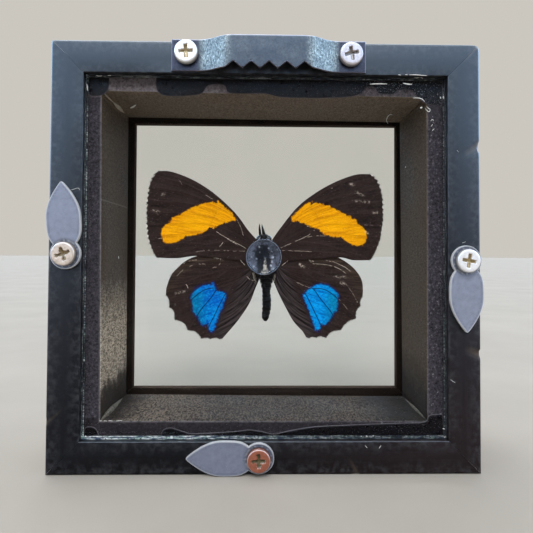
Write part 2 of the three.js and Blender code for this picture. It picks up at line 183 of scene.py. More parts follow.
def piece(made, body, slot, *nodes):
    """Rides a new piece on its body in place of the CAD nodes. Its slot is not used."""
    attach(made, body)
    if nodes:
        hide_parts(*nodes)
    return made


def bands(loops, sides, start=0, outward=True):
    """Quads between each loop of points and the next."""
    faces = []
    for loop in range(loops - 1):
        for k in range(sides):
            a, b = (start + loop * sides + i for i in (k, (k + 1) % sides))
            faces.append((a, b, b + sides, a + sides) if outward else (a, a + sides, b + sides, b))
    return faces


def triangulate(outline, spacing, insets=(), extra=None, clearance=0.0, holes=()):
    """Fills an outline with triangles that face -Y: flat points, triangles and distance to the rim.

    Insets are loops of points along the rim, and extra lines get a row of points on either side.
    """
    edge = np.asarray(outline, float)
    area = np.sum(edge[:, 0] * np.roll(edge[:, 1], -1) - np.roll(edge[:, 0], -1) * edge[:, 1])
    if area < 0:
        edge = edge[::-1]
    loops = [edge, *[np.asarray(hole, float) for hole in holes]]

    def rim_gap(points):
        return np.min([distance_to_line(points, closed(loop))[0] for loop in loops], axis=0)

    low, high = edge.min(0), edge.max(0)
    rows = np.arange(low[1], high[1], spacing * math.sqrt(0.75))
    grid = np.array([(x + (k % 2) * spacing / 2, z) for k, z in enumerate(rows)
                     for x in np.arange(low[0], high[0], spacing)])
    if extra is not None:
        grid = grid[nearest_line(grid, extra) > clearance]
        sides = []
        for line in extra:
            aside = square_to(np.gradient(line, axis=0)) * clearance * 0.6
            sides += [line, line + aside, line - aside]
        grid = np.vstack([grid, *sides])
    keep = inside(grid, edge) & (rim_gap(grid) > max([0.45 * spacing, *[g + 0.3 * spacing for g in insets]]))
    for hole in loops[1:]:
        keep &= ~inside(grid, hole)
    points = [*loops, grid[keep]]
    for inset in insets:
        for loop in loops:
            normal = square_to(np.roll(loop, -1, 0) - np.roll(loop, 1, 0))
            ring = loop + normal * inset * (1 if loop is edge else -1)
            points.append(ring[inside(ring, edge) & (rim_gap(ring) > 0.75 * inset)])
    flat = np.vstack(points)
    ends = np.cumsum([0, *[len(loop) for loop in loops]])
    borders = [[(a + i, a + (i + 1) % (b - a)) for i in range(b - a)] for a, b in zip(ends, ends[1:])]
    made = delaunay_2d_cdt([Vector(p) for p in flat], [pair for border in borders for pair in border],
                           [list(range(len(edge)))], 1, 1e-6)
    flat = np.array([v[:] for v in made[0]])
    triangles = np.array([t for t in made[2] if len(t) == 3])
    for hole in loops[1:]:
        triangles = triangles[~inside(flat[triangles].mean(1), hole)]
    a, b, c = (flat[triangles[:, k]] for k in range(3))
    turned = ((b - a)[:, 0] * (c - a)[:, 1] - (b - a)[:, 1] * (c - a)[:, 0]) < 0
    triangles[turned] = triangles[turned][:, ::-1]
    return flat, triangles, rim_gap(flat)


def plate(name, flat, triangles, depths, materials, attributes, sharp_deg=40):
    """A closed plate between two depths at each flat point. A second material faces its far side."""
    n = len(flat)
    points = np.vstack([np.column_stack([flat[:, 0], depth + BACK_Y, flat[:, 1]]) for depth in depths])
    edges = {}
    for t in triangles:
        for k in range(3):
            edges[(t[k], t[(k + 1) % 3])] = True
    walls = [(b, a, a + n, b + n) for a, b in edges if (b, a) not in edges]
    faces = [*map(tuple, triangles), *[(t[2] + n, t[1] + n, t[0] + n) for t in triangles], *walls]
    layers = [0] * len(triangles) + [1] * len(triangles) + [0] * len(walls)
    attributes = {key: np.concatenate([values, values]) for key, values in attributes.items()}
    return make_mesh(name, points, faces, materials, attributes, layers if len(materials) > 1 else None,
                     sharp_deg)


def rounded(corners, radius, spacing):
    """A closed outline with rounded corners and points along its straight runs."""
    corners = np.array(corners, float)
    made = []
    for before, corner, after in zip(np.roll(corners, 1, 0), corners, np.roll(corners, -1, 0)):
        back, ahead = before - corner, after - corner
        cut = min(radius, 0.4 * np.linalg.norm(back), 0.4 * np.linalg.norm(ahead))
        start = corner + back / np.linalg.norm(back) * cut
        end = corner + ahead / np.linalg.norm(ahead) * cut
        for t in (0, 0.25, 0.5, 0.75, 1):
            made.append((1 - t) ** 2 * start + 2 * t * (1 - t) * corner + t * t * end)
        reach = np.linalg.norm(ahead) - 2 * cut
        for k in range(1, int(reach / spacing)):
            made.append(end + ahead / np.linalg.norm(ahead) * reach * k / int(reach / spacing))
    return np.array(made)


def tube(stations, sides):
    """A closed round-sectioned tube through [x, y, z, radius] stations: points and faces."""
    stations = np.array(stations, float)
    centres, radii = stations[:, :3], stations[:, 3]
    along = unit(np.gradient(centres, axis=0))
    side = np.cross(along[0], (0.31, 0.94, 0.17))
    points = []
    for centre, radius, forward in zip(centres, radii, along):
        side = side - forward * (side @ forward)
        side /= np.linalg.norm(side)
        other = np.cross(forward, side)
        for k in range(sides):
            angle = 2 * math.pi * k / sides
            points.append(centre + radius * (math.cos(angle) * side + math.sin(angle) * other))
    last = (len(stations) - 1) * sides
    ends = [tuple(range(sides))[::-1], tuple(last + k for k in range(sides))]
    return np.array(points), bands(len(stations), sides) + ends


def joined(parts):
    """Several point-and-face sets as one."""
    points, faces, start = [], [], 0
    for these, theirs in parts:
        points.append(these)
        faces += [tuple(i + start for i in face) for face in theirs]
        start += len(these)
    return np.vstack(points), faces


def strands(name, runs, sides, material, slot):
    """One piece of the frame made of tubes: runs are each tube's stations and its tone."""
    parts = [tube(stations, sides) for stations, _ in runs]
    tones = np.concatenate([np.full(len(part[0]), tone) for part, (_, tone) in zip(parts, runs)])
    points, faces = joined(parts)
    piece(make_mesh(name, points, faces, [material], {"tone": tones}), "frame", slot)


def blades(roots, directions, lengths, widths, droop, rng):
    """Flat tapering hairs of two joints and five points each: points and faces."""
    points, faces = [], []
    for root, direction, length, width in zip(roots, directions, lengths, widths):
        direction = direction / np.linalg.norm(direction)
        side = np.cross(direction, rng.normal(size=3))
        side *= width / 2 / np.linalg.norm(side)
        middle = root + direction * length * 0.5 + droop * length * 0.12
        tip = root + direction * length + droop * length * 0.45
        first = len(points)
        points += [root - side, root + side, middle + side * 0.7, middle - side * 0.7, tip]
        faces += [(first, first + 1, first + 2, first + 3), (first + 3, first + 2, first + 4)]
    return np.array(points), faces


# ---- node materials -----------------------------------------------------------------------------

def srgb(red, green, blue):
    """Linear colour of 0 to 255 display values."""
    parts = [v / 255 for v in (red, green, blue)]
    return (*[v / 12.92 if v <= 0.04045 else ((v + 0.055) / 1.055) ** 2.4 for v in parts], 1)


def shade(colour, factor):
    """The linear colour of display values, with its light multiplied."""
    return (*[factor * v for v in srgb(*colour)[:3]], 1)


class Nodes:
    """The node tree of a material or a world under construction."""

    def __init__(self, owner):
        owner.use_nodes = True
        self.tree = owner.node_tree

    def feed(self, socket, value):
        if isinstance(value, bpy.types.NodeSocket):
            self.tree.links.new(value, socket)
        else:
            socket.default_value = value

    def node(self, kind, inputs=None, **settings):
        made = self.tree.nodes.new("ShaderNode" + kind)
        for key, value in settings.items():
            setattr(made, key, value)
        for key, value in (inputs or {}).items():
            self.feed(made.inputs[key], value)
        return made

    def math(self, operation, first, second=0.0, clamp=False):
        return self.node("Math", {0: first, 1: second}, operation=operation, use_clamp=clamp).outputs[0]

    def plus(self, first, second, clamp=False):
        return self.math("ADD", first, second, clamp)

    def times(self, first, second, clamp=False):
        return self.math("MULTIPLY", first, second, clamp)

    def minus(self, first, second, clamp=False):
        return self.math("SUBTRACT", first, second, clamp)

    def span(self, value, low, high, to_low=0.0, to_high=1.0):
        """Maps a value from one range to another, clamped."""
        inputs = {"Value": value, "From Min": low, "From Max": high, "To Min": to_low, "To Max": to_high}
        return self.node("MapRange", inputs).outputs["Result"]

    def mix(self, share, first, second):
        """The second colour over the first by a share.

        A colour of three numbers has display values, and a share in brackets is a span.
        """
        made = self.node("Mix", data_type="RGBA")
        self.feed(made.inputs[0], self.span(*share) if isinstance(share, tuple) else share)
        for k, colour in ((6, first), (7, second)):
            shown = isinstance(colour, tuple) and len(colour) == 3
            self.feed(made.inputs[k], srgb(*colour) if shown else colour)
        return made.outputs[2]

    def mirrored(self, extra):
        """1 for a ray that was mirrored on its way and never scattered, else 0. Backdrops have 1 extra."""
        path = self.node("LightPath").outputs
        inputs = {0: path["Diffuse Depth"], 1: 10.0, 2: extra}
        scattered = self.node("Math", inputs, operation="MULTIPLY_ADD").outputs[0]
        turns = self.minus(path["Ray Depth"], path["Transmission Depth"])
        return self.minus(turns, scattered, True)


class Finish(Nodes):
    """A material under construction round one Principled shader."""

    def __init__(self, name, **constants):
        self.material = bpy.data.materials.new(name)
        super().__init__(self.material)
        self.shader = self.tree.nodes["Principled BSDF"]
        for key, value in constants.items():
            self.shader.inputs[key.replace("_", " ")].default_value = value
        self.place = self.node("TexCoord").outputs["Object"]

    def set(self, key, value):
        self.feed(self.shader.inputs[key], value)

    def attribute(self, name, output="Fac"):
        return self.node("Attribute", attribute_name=name).outputs[output]

    def stretched(self, vector, scale):
        """A vector in mm, scaled on each axis."""
        return self.node("Mapping", {"Vector": vector, "Scale": scale}).outputs[0]

    def noise(self, per_mm, vector=None, detail=3.0, roughness=0.55, distortion=0.0):
        """Noise from 0 to 1, with per_mm features to the mm."""
        scale = per_mm if vector is not None else per_mm / MM
        inputs = {"Vector": self.place if vector is None else vector, "Scale": scale, "Detail": detail,
                  "Roughness": roughness, "Distortion": distortion}
        return self.node("TexNoise", inputs).outputs["Fac"]

    def cells(self, per_mm, output="Color"):
        return self.node("TexVoronoi", {"Vector": self.place, "Scale": per_mm / MM}).outputs[output]

    def axis(self, name):
        """One coordinate in mm."""
        return self.times(self.node("SeparateXYZ", {0: self.place}).outputs[name], 1 / MM)

    def see_through(self, share, colour=(1, 1, 1, 1)):
        """Lets rays pass straight through, tinted, where share is 1."""
        clear = self.node("BsdfTransparent", {"Color": colour}).outputs[0]
        both = self.node("MixShader", {0: share, 1: self.shader.outputs[0], 2: clear})
        self.feed(self.tree.nodes["Material Output"].inputs["Surface"], both.outputs[0])

    def done(self, colour, roughness=None, height=None, depth_mm=0.0, strength=1.0):
        """The material with these colour, roughness and bump."""
        self.set("Base Color", colour)
        if roughness is not None:
            self.set("Roughness", roughness)
        if height is not None:
            inputs = {"Height": height, "Distance": depth_mm * MM, "Strength": strength}
            self.set("Normal", self.node("Bump", inputs).outputs[0])
        return self.material


def painted_wood():
    """Satin black paint over fine grain, with grey dust and worn edges, and a painted warm reflection low on
    the right.
    """
    f = Finish("black_wood", Specular_IOR_Level=0.5)
    grain = f.attribute("grain", "Vector")
    lines = f.noise(1.0, f.stretched(grain, (0.05, 2.6, 2.6)), 5)
    mottle = f.noise(0.05, None, 3)
    specks = f.span(f.noise(3.1, None, 2, 0.7), 0.71, 0.78)
    tone = f.mix((lines, 0.35, 0.7), (6, 4, 4), (14, 10, 10))
    tone = f.mix((mottle, 0.35, 0.75, 0.0, 0.3), tone, (18, 17, 18))
    # Painted warm reflection: the frame is painted lighter and warmer towards its lower right.
    painted_warm_reflection = f.times(f.span(f.axis("X"), -15, 40), f.span(f.axis("Z"), 10, 48, 0.85, 0))
    tone = f.mix(painted_warm_reflection, tone, f.mix((lines, 0.35, 0.7), (25, 15, 13), (38, 25, 23)))
    wear = f.times(f.attribute("edge"), f.span(f.noise(0.9, None, 4), 0.42, 0.66), True)
    tone = f.mix(f.times(wear, 0.4), tone, (84, 84, 86))
    tone = f.mix(f.times(specks, 0.4), tone, (110, 110, 108))
    tone = f.mix(f.attribute("chip"), tone, (112, 96, 80))
    fine = f.noise(1.0, f.stretched(grain, (0.3, 6.0, 6.0)), 3)
    return f.done(tone,
                  f.span(f.plus(mottle, f.times(lines, 0.5)), 0.4, 1.1, 0.36, 0.375),
                  f.plus(lines, f.times(fine, 0.5)), 0.01, 0.4)


def lip_paint():
    """Thin flat paint on the window's lip; the opening's side face is painted lighter brown, a painted
    sheen.
    """
    f = Finish("lip_paint", Specular_IOR_Level=0.0, Roughness=0.8)
    place = f.attribute("grain", "Vector")
    grain = f.noise(1.0, f.stretched(place, (0.1, 3.0, 3.0)), 4)
    # Painted sheen: the faces deeper than the lip's back, round the opening, are painted a lighter brown.
    rear = f.span(f.node("SeparateXYZ", {0: place}).outputs["Z"], LIP_DEPTH + 0.1, LIP_DEPTH + 0.3)
    flat = f.mix((grain, 0.35, 0.65), (20, 14, 12), (32, 24, 21))
    return f.done(f.mix(rear, flat, f.mix((grain, 0.35, 0.65), (46, 37, 34), (76, 64, 58))),
                  None,
                  grain, 0.02, 0.5)


def liner_card():
    """Dark olive-brown board with a fine speckled, slightly fibrous face, and painted light and shade on it.
    """
    f = Finish("liner_board", Specular_IOR_Level=0.06)
    speck = f.noise(1.0, f.stretched(f.place, (2400, 800, 2400)), 5, 0.85)
    left, low = f.axis("X"), f.axis("Z")
    cloud = f.noise(0.09, None, 3)
    tone = f.mix((speck, 0.36, 0.64), (58, 50, 42), (118, 104, 90))
    tone = f.mix((cloud, 0.35, 0.7, 0.0, 0.45), tone, (106, 95, 84))
    blur = f.times(f.minus(f.noise(0.35, None, 3), 0.5), 9.0)
    height = f.plus(low, blur)
    wall = f.span(left, -38.2, -37.6, 1, 0)
    # Painted light: a pale pool of light on the left wall's lower half.
    lit = f.times(f.times(wall, f.span(height, 17, 21)), f.span(height, 32, 44, 1, 0))
    pale = f.mix((speck, 0.42, 0.6), (104, 93, 84), (255, 240, 222))
    tone = f.mix(f.times(lit, 0.95), tone, pale)
    # Painted shade at the foot of the left wall.
    dim = f.times(wall, f.span(height, 15.5, 19.5, 0.75, 0))
    tone = f.mix(dim, tone, (34, 27, 24))
    scratch = f.span(f.math("ABSOLUTE", f.minus(low, 63.2)), 0.06, 0.22, 0.5, 0)
    tone = f.mix(f.times(wall, scratch), tone, (150, 138, 126))
    foot = f.mix((speck, 0.44, 0.56), (10, 8, 7), (112, 100, 90))
    # The bottom board gets painted shade in its left corner and over its middle and right, deepest towards
    # the right corner.
    foot = f.mix((f.plus(left, blur), -35.5, -31.0, 0.8, 0), foot, (22, 17, 14))
    foot = f.mix((f.plus(left, blur), -26, -12, 0, 0.42), foot, (20, 17, 16))
    foot = f.mix((f.plus(left, blur), 23, 31, 0, 0.75), foot, (22, 20, 19))
    bottom = f.span(low, 11.8, 12.4, 1, 0)
    # Painted shade low on the right wall, towards the bottom right corner.
    shaded_corner = f.times(f.span(left, 30, 35), f.span(height, 16, 26, 0.75, 0))
    tone = f.mix(shaded_corner, tone, (26, 24, 24))
    tone = f.mix(bottom, tone, foot)
    # Painted light: the top board's face is painted lighter than the others.
    head = f.mix((speck, 0.38, 0.6), (84, 72, 60), (142, 125, 108))
    top = f.span(low, 87.2, 87.7)
    tone = f.mix(f.times(top, 0.9), tone, head)
    fibre = f.noise(1.7, None, 4, 0.8)
    rear = f.mix((fibre, 0.34, 0.66), (20, 17, 21), (70, 66, 74))
    rear = f.mix(f.times(bottom, 0.6), rear, (26, 21, 24))
    # Painted light: the top ledge is painted lighter, most towards its left.
    upper = f.mix((fibre, 0.36, 0.64), (80, 73, 77), (150, 140, 147))
    rear = f.mix(f.times(top, f.span(left, 5, 30, 0.75, 0.3)), rear, upper)
    rear = f.mix((fibre, 0.64, 0.71, 0, f.span(left, 10, 38, 0.2, 0.85)), rear, (176, 172, 176))
    # Along the ledges' inner edges: a pale line, part wear and part painted highlight, stronger on the left
    # and fainter on the top.
    worn = f.span(f.noise(0.9, None, 3), 0.36, 0.55, 0.3, 1)
    arris = f.span(f.attribute("edge"), 0.5, 0.9, 0, f.span(left, -20, 20, 0.8, 0.4))
    arris = f.times(arris, f.span(top, 0, 1, 1, 0.3))
    rear = f.mix(f.times(arris, worn), rear, (138, 133, 138))
    return f.done(f.mix(f.attribute("rear"), tone, rear),
                  f.span(cloud, 0.3, 0.7, 0.62, 0.82),
                  speck, 0.04, 0.7)


def pane_glass():
    """Clear glass that lets the lamps through, with faint smears and dust."""
    f = Finish("pane_glass", Transmission_Weight=1.0, IOR=1.35, Specular_IOR_Level=0.5)
    f.see_through(f.node("LightPath").outputs["Is Shadow Ray"], (0.93, 0.95, 0.94, 1))
    clear = f.mix((f.noise(0.06, None, 3), 0.3, 0.7), (0.955, 0.975, 0.965, 1), (0.985, 0.99, 0.985, 1))
    return f.done(clear, f.span(f.noise(0.05, None, 4, 0.6, 0.4), 0.42, 0.75, 0.0, 0.035))


def pane_edge():
    """The ground edge of a pane, broken white and green where it catches the light."""
    f = Finish("pane_edge", Specular_IOR_Level=0.6, Roughness=0.28)
    left, low = f.axis("X"), f.axis("Z")
    # Painted highlights: the pale streaks show only along the foot and the left side, where the edge catches
    # the light.
    along = f.times(f.span(left, -18, 2, 1.0, 0.5), f.span(left, 8, 24, 1.0, 0.25))
    foot = f.times(f.span(low, 8.5, 9.5, 1, 0), along)
    lit = f.math("MAXIMUM", foot, f.span(left, -41.5, -40.5, 0.85, 0.35))
    streak = f.span(f.noise(1.6, None, 5, 0.8), f.span(foot, 0, 1, 0.46, 0.38),
                    f.span(foot, 0, 1, 0.53, 0.47))
    long_streak = f.span(f.noise(0.3, None, 3, 0.6), f.span(foot, 0, 1, 0.36, 0.2),
                         f.span(foot, 0, 1, 0.5, 0.34))
    shown = f.times(f.times(streak, long_streak), lit, True)
    pale = f.mix((f.noise(0.8), 0.4, 0.6), (176, 206, 198), (246, 252, 255))
    pale = f.mix((f.noise(1.0, f.stretched(f.place, (400, 400, 3000)), 3), 0.46, 0.54), pale, (70, 86, 110))
    return f.done(f.mix(shown, (9, 12, 12), pale), None, f.noise(2.0, None, 4), 0.1, 0.7)


def sealant_black():
    """Black sealant pressed against the glass, with small bubbles and painted glints, most of them to the
    top right.
    """
    f = Finish("sealant", Specular_IOR_Level=0.1)
    bubbles = f.cells(0.9, "Distance")
    # Painted glints: white specks, more of them towards the right and the top.
    shown = f.times(f.span(f.axis("X"), 5, 32, 0.25, 1), f.span(f.axis("Z"), 12, 80, 0.3, 0.9))
    specks = f.span(f.noise(3.0, None, 3, 0.8), 0.6, 0.66, 0, shown)
    tone = f.mix((f.noise(1.6, None, 4), 0.35, 0.75), (5, 4, 7), (19, 16, 20))
    tone = f.mix(specks, tone, (178, 174, 184))
    return f.done(f.mix(f.times(f.attribute("rim"), 0.5), tone, (120, 116, 124)),
                  f.span(f.noise(0.7, None, 3), 0.3, 0.7, 0.22, 0.45),
                  f.plus(f.span(bubbles, 0.0, 0.35), f.noise(1.1, None, 3)), 0.05, 0.4)


def zinc_sheet():
    """Zinc-plated sheet: fine crystals, a bright spangle and painted sheen on its slopes, and darker flat
    ends.
    """
    f = Finish("zinc_plate", Metallic=0.85)
    crystals = f.noise(1.0, f.stretched(f.place, (2600, 2600, 1300)), 3, 0.7)
    fine = f.noise(2.4, None, 4, 0.75)
    broad = f.noise(0.35, None, 3, 0.6)
    spangle_and_sheen = f.attribute("spangle_and_sheen")
    plain = f.mix((fine, 0.3, 0.7), (58, 59, 60), (79, 80, 81))
    plain = f.mix((broad, 0.4, 0.65, 0, 0.5), plain, (50, 53, 60))
    spangle = f.mix((crystals, 0.36, 0.64), (64, 64, 60), (132, 132, 124))
    spangle = f.mix((fine, 0.54, 0.66, 0, 0.8), spangle, (186, 186, 176))
    spangle = f.mix((broad, 0.4, 0.6, 0.35, 0), spangle, (66, 68, 70))
    # Painted sheen: the sloped parts are painted with the bright spangle.
    tone = f.mix(f.times(spangle_and_sheen, f.span(crystals, 0.3, 0.5, 0.7, 1.0)), plain, spangle)
    tone = f.mix(f.attribute("dull"), tone, f.mix((fine, 0.35, 0.7), (38, 36, 41), (64, 61, 68)))
    # Painted highlight along the sheet's cut edges.
    return f.done(f.mix(f.attribute("edge"), tone, (226, 214, 222)),
                  f.span(f.plus(crystals, fine), 0.6, 1.5, 0.28, 0.46),
                  f.plus(crystals, fine), 0.02, 0.5)


def screw_metal(name, bright, deep, stain=0.0, gloss=0.5):
    """Plated screw steel: bright head, stained recess, fine scratches and burrs, with painted glints and
    shade.
    """
    f = Finish(name, Metallic=0.2, Specular_IOR_Level=gloss)
    scratch = f.noise(1.0, f.stretched(f.place, (900, 300, 5200)), 4, 0.6)
    blotch = f.noise(1.3, None, 4, 0.65)
    nicks = f.span(f.noise(2.0, None, 3, 0.6), 0.69, 0.74)
    tone = f.mix((blotch, 0.42, 0.66, stain, 0.5 + stain), bright, shade(bright, 0.75 - stain))
    tone = f.mix(f.times(nicks, 0.6), tone, deep)
    pit = f.mix((f.noise(3.2, None, 3), 0.35, 0.65), deep, shade(deep, 2.1))
    tone = f.mix(f.attribute("recess"), tone, pit)
    # Painted glints: white on the burrs round the chewed recess, most towards the lower right.
    burr_glint = f.times(f.attribute("burr_glint"), f.span(f.noise(2.0, None, 3), 0.42, 0.5), True)
    tone = f.mix(burr_glint, tone, (255, 252, 248))
    # Painted glint: a white ring near the head's rim, kept as lip.
    tone = f.mix(f.attribute("lip"), tone, (250, 244, 242))
    # Painted shade on the head's side and down the shank.
    return f.done(f.mix(f.times(f.attribute("wall"), 0.85), tone, shade(bright, 0.1)),
                  f.span(scratch, 0.3, 0.7, 0.26, 0.42),
                  f.plus(scratch, f.times(blotch, stain * 4)), 0.03, 0.5)


def frosted_plastic():
    """Moulded translucent plastic: frosted leaf and clearer eye, with painted edge highlights and painted
    shade.
    """
    f = Finish("frosted_plastic", Specular_IOR_Level=0.45, Transmission_Weight=0.2, IOR=1.49)
    haze = f.noise(0.8, None, 4)
    grain = f.noise(4.2, None, 3, 0.7)
    dust = f.span(f.noise(5.0, None, 2, 0.7), 0.70, 0.76)
    tone = f.mix((haze, 0.3, 0.7), (134, 141, 162), (154, 161, 181))
    tone = f.mix((grain, 0.35, 0.7, 0.0, 0.35), tone, (172, 178, 196))
    eye = f.span(f.noise(2.2, None, 3), 0.3, 0.7)
    tone = f.mix(f.attribute("eye"), tone, f.mix(eye, (76, 82, 100), (112, 120, 142)))
    # Painted shade: a dark line just inside the bevelled rim.
    tone = f.mix(f.attribute("bevel_shade"), tone, (96, 102, 122))
    # Painted highlights: white along the rim and round the eye.
    tone = f.mix(f.attribute("rim"), tone, (250, 252, 255))
    # Painted shade: the bottom button, low on the frame, is painted darker.
    tone = f.mix((f.axis("Z"), 9, 16, 0.28, 0), tone, (70, 72, 88))
    return f.done(f.mix(f.times(dust, 0.5), tone, (226, 228, 232)),
                  f.span(haze, 0.3, 0.7, 0.3, 0.45),
                  f.plus(haze, grain), 0.02, 0.5)


def post_acrylic():
    """Clear plastic rod, scuffed on its sides."""
    f = Finish("clear_acrylic", Transmission_Weight=1.0, IOR=1.3, Specular_IOR_Level=0.5)
    scuff = f.noise(1.1, None, 5, 0.65)
    f.see_through(f.node("LightPath").outputs["Is Shadow Ray"], (0.86, 0.88, 0.92, 1))
    return f.done(f.mix((scuff, 0.35, 0.7), (214, 220, 234), (240, 244, 250)),
                  f.span(scuff, 0.35, 0.7, 0.0, 0.06),
                  scuff, 0.01, 0.3)


def post_frost():
    """The rod's sanded end under glue: hazy blue-grey, dark where the thorax touches it, with painted light
    and glints.
    """
    f = Finish("post_frost", Specular_IOR_Level=0.5)
    cloud = f.noise(1.0, None, 5, 0.6)
    fine = f.noise(4.0, None, 3, 0.7)
    tone = f.mix((cloud, 0.36, 0.66), (26, 28, 35), (98, 100, 113))
    # Painted light: the end is painted lighter on its left side.
    side = f.span(f.axis("X"), -4.6, -1.5, 0.55, 0.0)
    tone = f.mix(side, tone, f.mix((cloud, 0.36, 0.66), (84, 90, 104), (134, 141, 156)))
    tone = f.mix((fine, 0.55, 0.75, 0.0, 0.35), tone, (140, 148, 168))
    dark = f.mix((fine, 0.3, 0.7), (3, 3, 6), (20, 20, 30))
    tone = f.mix(f.attribute("contact"), tone, dark)
    pale = f.mix((fine, 0.35, 0.65), (140, 124, 106), (222, 214, 200))
    run = f.times(f.attribute("run"), f.span(cloud, 0.38, 0.52, 0.25, 1.0))
    tone = f.mix(run, tone, pale)
    # Painted glints.
    tone = f.mix(f.times(f.attribute("glint"), f.span(cloud, 0.4, 0.58)), tone, (226, 230, 238))
    # The rear rim is painted a light blue-grey, a painted highlight.
    return f.done(f.mix(f.attribute("rim"), tone, (92, 98, 114)),
                  f.span(fine, 0.3, 0.7, 0.25, 0.45),
                  f.plus(cloud, fine), 0.03, 0.5)


def glue_resin():
    """Cloudy, yellowish hot glue with bubbles."""
    f = Finish("glue", Specular_IOR_Level=0.5)
    cloud = f.noise(1.3, None, 4, 0.6)
    return f.done(f.mix((cloud, 0.35, 0.7), (176, 160, 132), (236, 230, 214)),
                  f.span(cloud, 0.3, 0.7, 0.2, 0.4),
                  f.plus(cloud, f.cells(2.2, "Distance")), 0.1, 0.5)


def chitin():
    """Black scaly cuticle, brownish where the scales have rubbed off."""
    f = Finish("chitin_black", Specular_IOR_Level=0.12)
    scales = f.cells(6.0, "Distance")
    rub = f.noise(0.9, None, 4)
    tone = f.mix((scales, 0.05, 0.5), (20, 18, 18), (7, 6, 6))
    return f.done(f.mix((rub, 0.58, 0.75, 0.0, 0.6), tone, (42, 32, 27)),
                  f.span(rub, 0.3, 0.7, 0.45, 0.7),
                  f.plus(scales, rub), 0.06, 0.7)


def eye_glaze():
    """Dark brown compound eye with tiny facets."""
    f = Finish("eye_facets", Specular_IOR_Level=0.6)
    facets = f.cells(14.0, "Distance")
    return f.done(f.mix((facets, 0.1, 0.5), (62, 40, 26), (24, 14, 9)),
                  f.span(f.noise(1.5), 0.3, 0.7, 0.15, 0.3),
                  facets, 0.03, 0.6)


def hair_finish(name, dark, light):
    """Hair that goes from dark to light with each hair's own tone."""
    f = Finish(name, Specular_IOR_Level=0.1, Roughness=0.55)
    tone = f.plus(f.attribute("tone"), f.span(f.noise(1.6), 0.3, 0.7, -0.15, 0.15), True)
    return f.done(f.mix(tone, dark, light))


# ---- camera, stage and light --------------------------------------------------------------------

def add_camera():
    yaw, pitch, roll = (math.radians(v) for v in (1.10, 1.39, 0.27))
    ahead = Vector((math.sin(yaw) * math.cos(pitch), math.cos(yaw) * math.cos(pitch), math.sin(pitch)))
    level = Vector((math.cos(yaw), -math.sin(yaw), 0))
    up = level.cross(ahead)
    right = math.cos(roll) * level + math.sin(roll) * up
    top = math.cos(roll) * up - math.sin(roll) * level
    data = bpy.data.cameras.new("camera")
    data.sensor_width, data.lens = 36.0, 35.12
    data.shift_x, data.shift_y = -0.0139, -0.0510
    data.clip_start = 0.01
    camera = bpy.data.objects.new("camera", data)
    turn = Matrix((right, top, -ahead)).transposed().to_4x4()
    camera.matrix_world = Matrix.Translation(Vector((-0.49, -136.37, 51.02)) * MM) @ turn
    bpy.context.scene.collection.objects.link(camera)
    bpy.context.scene.camera = camera


def add_stage():
    """A pale floor that runs out to the horizon. It isn't seen in reflections."""
    f = Finish("floor_paper", Roughness=0.9, Specular_IOR_Level=0.1)
    sides, radii, height = 64, (500, 1500, 6000), -0.02
    points = [(0, 0, height)]
    points += [(radius * math.cos(a), radius * math.sin(a), height)
               for radius in radii for a in whole_turn(sides)]
    faces = [(0, 1 + k, 1 + (k + 1) % sides) for k in range(sides)] + bands(len(radii), sides, 1, False)
    f.see_through(f.mirrored(0.0))
    paper = f.done(f.mix((f.noise(0.02), 0.3, 0.7), (181, 174, 163), (189, 182, 171)))
    make_mesh("floor", points, faces, [paper])


def add_sun(name, strength, spread_deg, toward, colour):
    """A soft distant lamp that shines from the direction toward."""
    data = bpy.data.lights.new(name, "SUN")
    data.energy, data.color, data.angle = strength, colour, math.radians(spread_deg)
    lamp = bpy.data.objects.new(name, data)
    lamp.rotation_mode = "QUATERNION"
    lamp.rotation_quaternion = Vector(toward).to_track_quat("Z", "Y")
    bpy.context.scene.collection.objects.link(lamp)


def add_lights():
    add_sun("overhead", 1.1, 40, (-0.15, 0.35, 1.0), (0.95, 0.97, 1.0))
    add_sun("high_window", 1.9, 30, (-0.02, -0.8, 0.80), (0.97, 0.98, 1.0))
    bpy.context.scene.world = studio_world()
    bpy.context.scene.view_settings.view_transform = "Standard"


def studio_world():
    """A pale surround. Mirrored, it has bright sky high up and to the sides, and a dark window in it."""
    world = bpy.data.worlds.new("studio")
    f = Nodes(world)
    ray = f.node("SeparateXYZ", {0: f.node("TexCoord").outputs["Generated"]}).outputs
    aside = f.span(f.math("ABSOLUTE", ray["X"]), 0.325, 0.37)
    outside = f.math("MAXIMUM", aside, f.span(ray["Z"], 0.33, 0.37))
    sky = f.node("ValToRGB", {0: f.span(ray["Z"], -1.0, 1.0)})
    stops = ((0.34, (0.02, 0.015, 0.015)), (0.46, (0.52, 0.42, 0.42)), (0.52, (1.15, 1.15, 1.4)),
             (0.58, (2.25, 3.1, 4.4)), (0.67, (2.7, 4.3, 6.5)), (1.0, (1.2, 1.5, 1.9)))
    ramp = sky.color_ramp
    while len(ramp.elements) < len(stops):
        ramp.elements.new(0.5)
    for element, (position, colour) in zip(ramp.elements, stops):
        element.position, element.color = position, (*colour, 1)
    mirror = f.mix(outside, (0.03, 0.025, 0.022, 1), sky.outputs[0])
    path = f.node("LightPath").outputs
    seen = f.math("MAXIMUM", path["Is Camera Ray"], path["Is Transmission Ray"])
    backdrop = f.mix(seen, (0.50, 0.54, 0.60, 1), (203, 199, 191))
    f.feed(f.tree.nodes["Background"].inputs["Color"], f.mix(f.mirrored(1.0), backdrop, mirror))
    return world


# ---- frame bars ---------------------------------------------------------------------------------

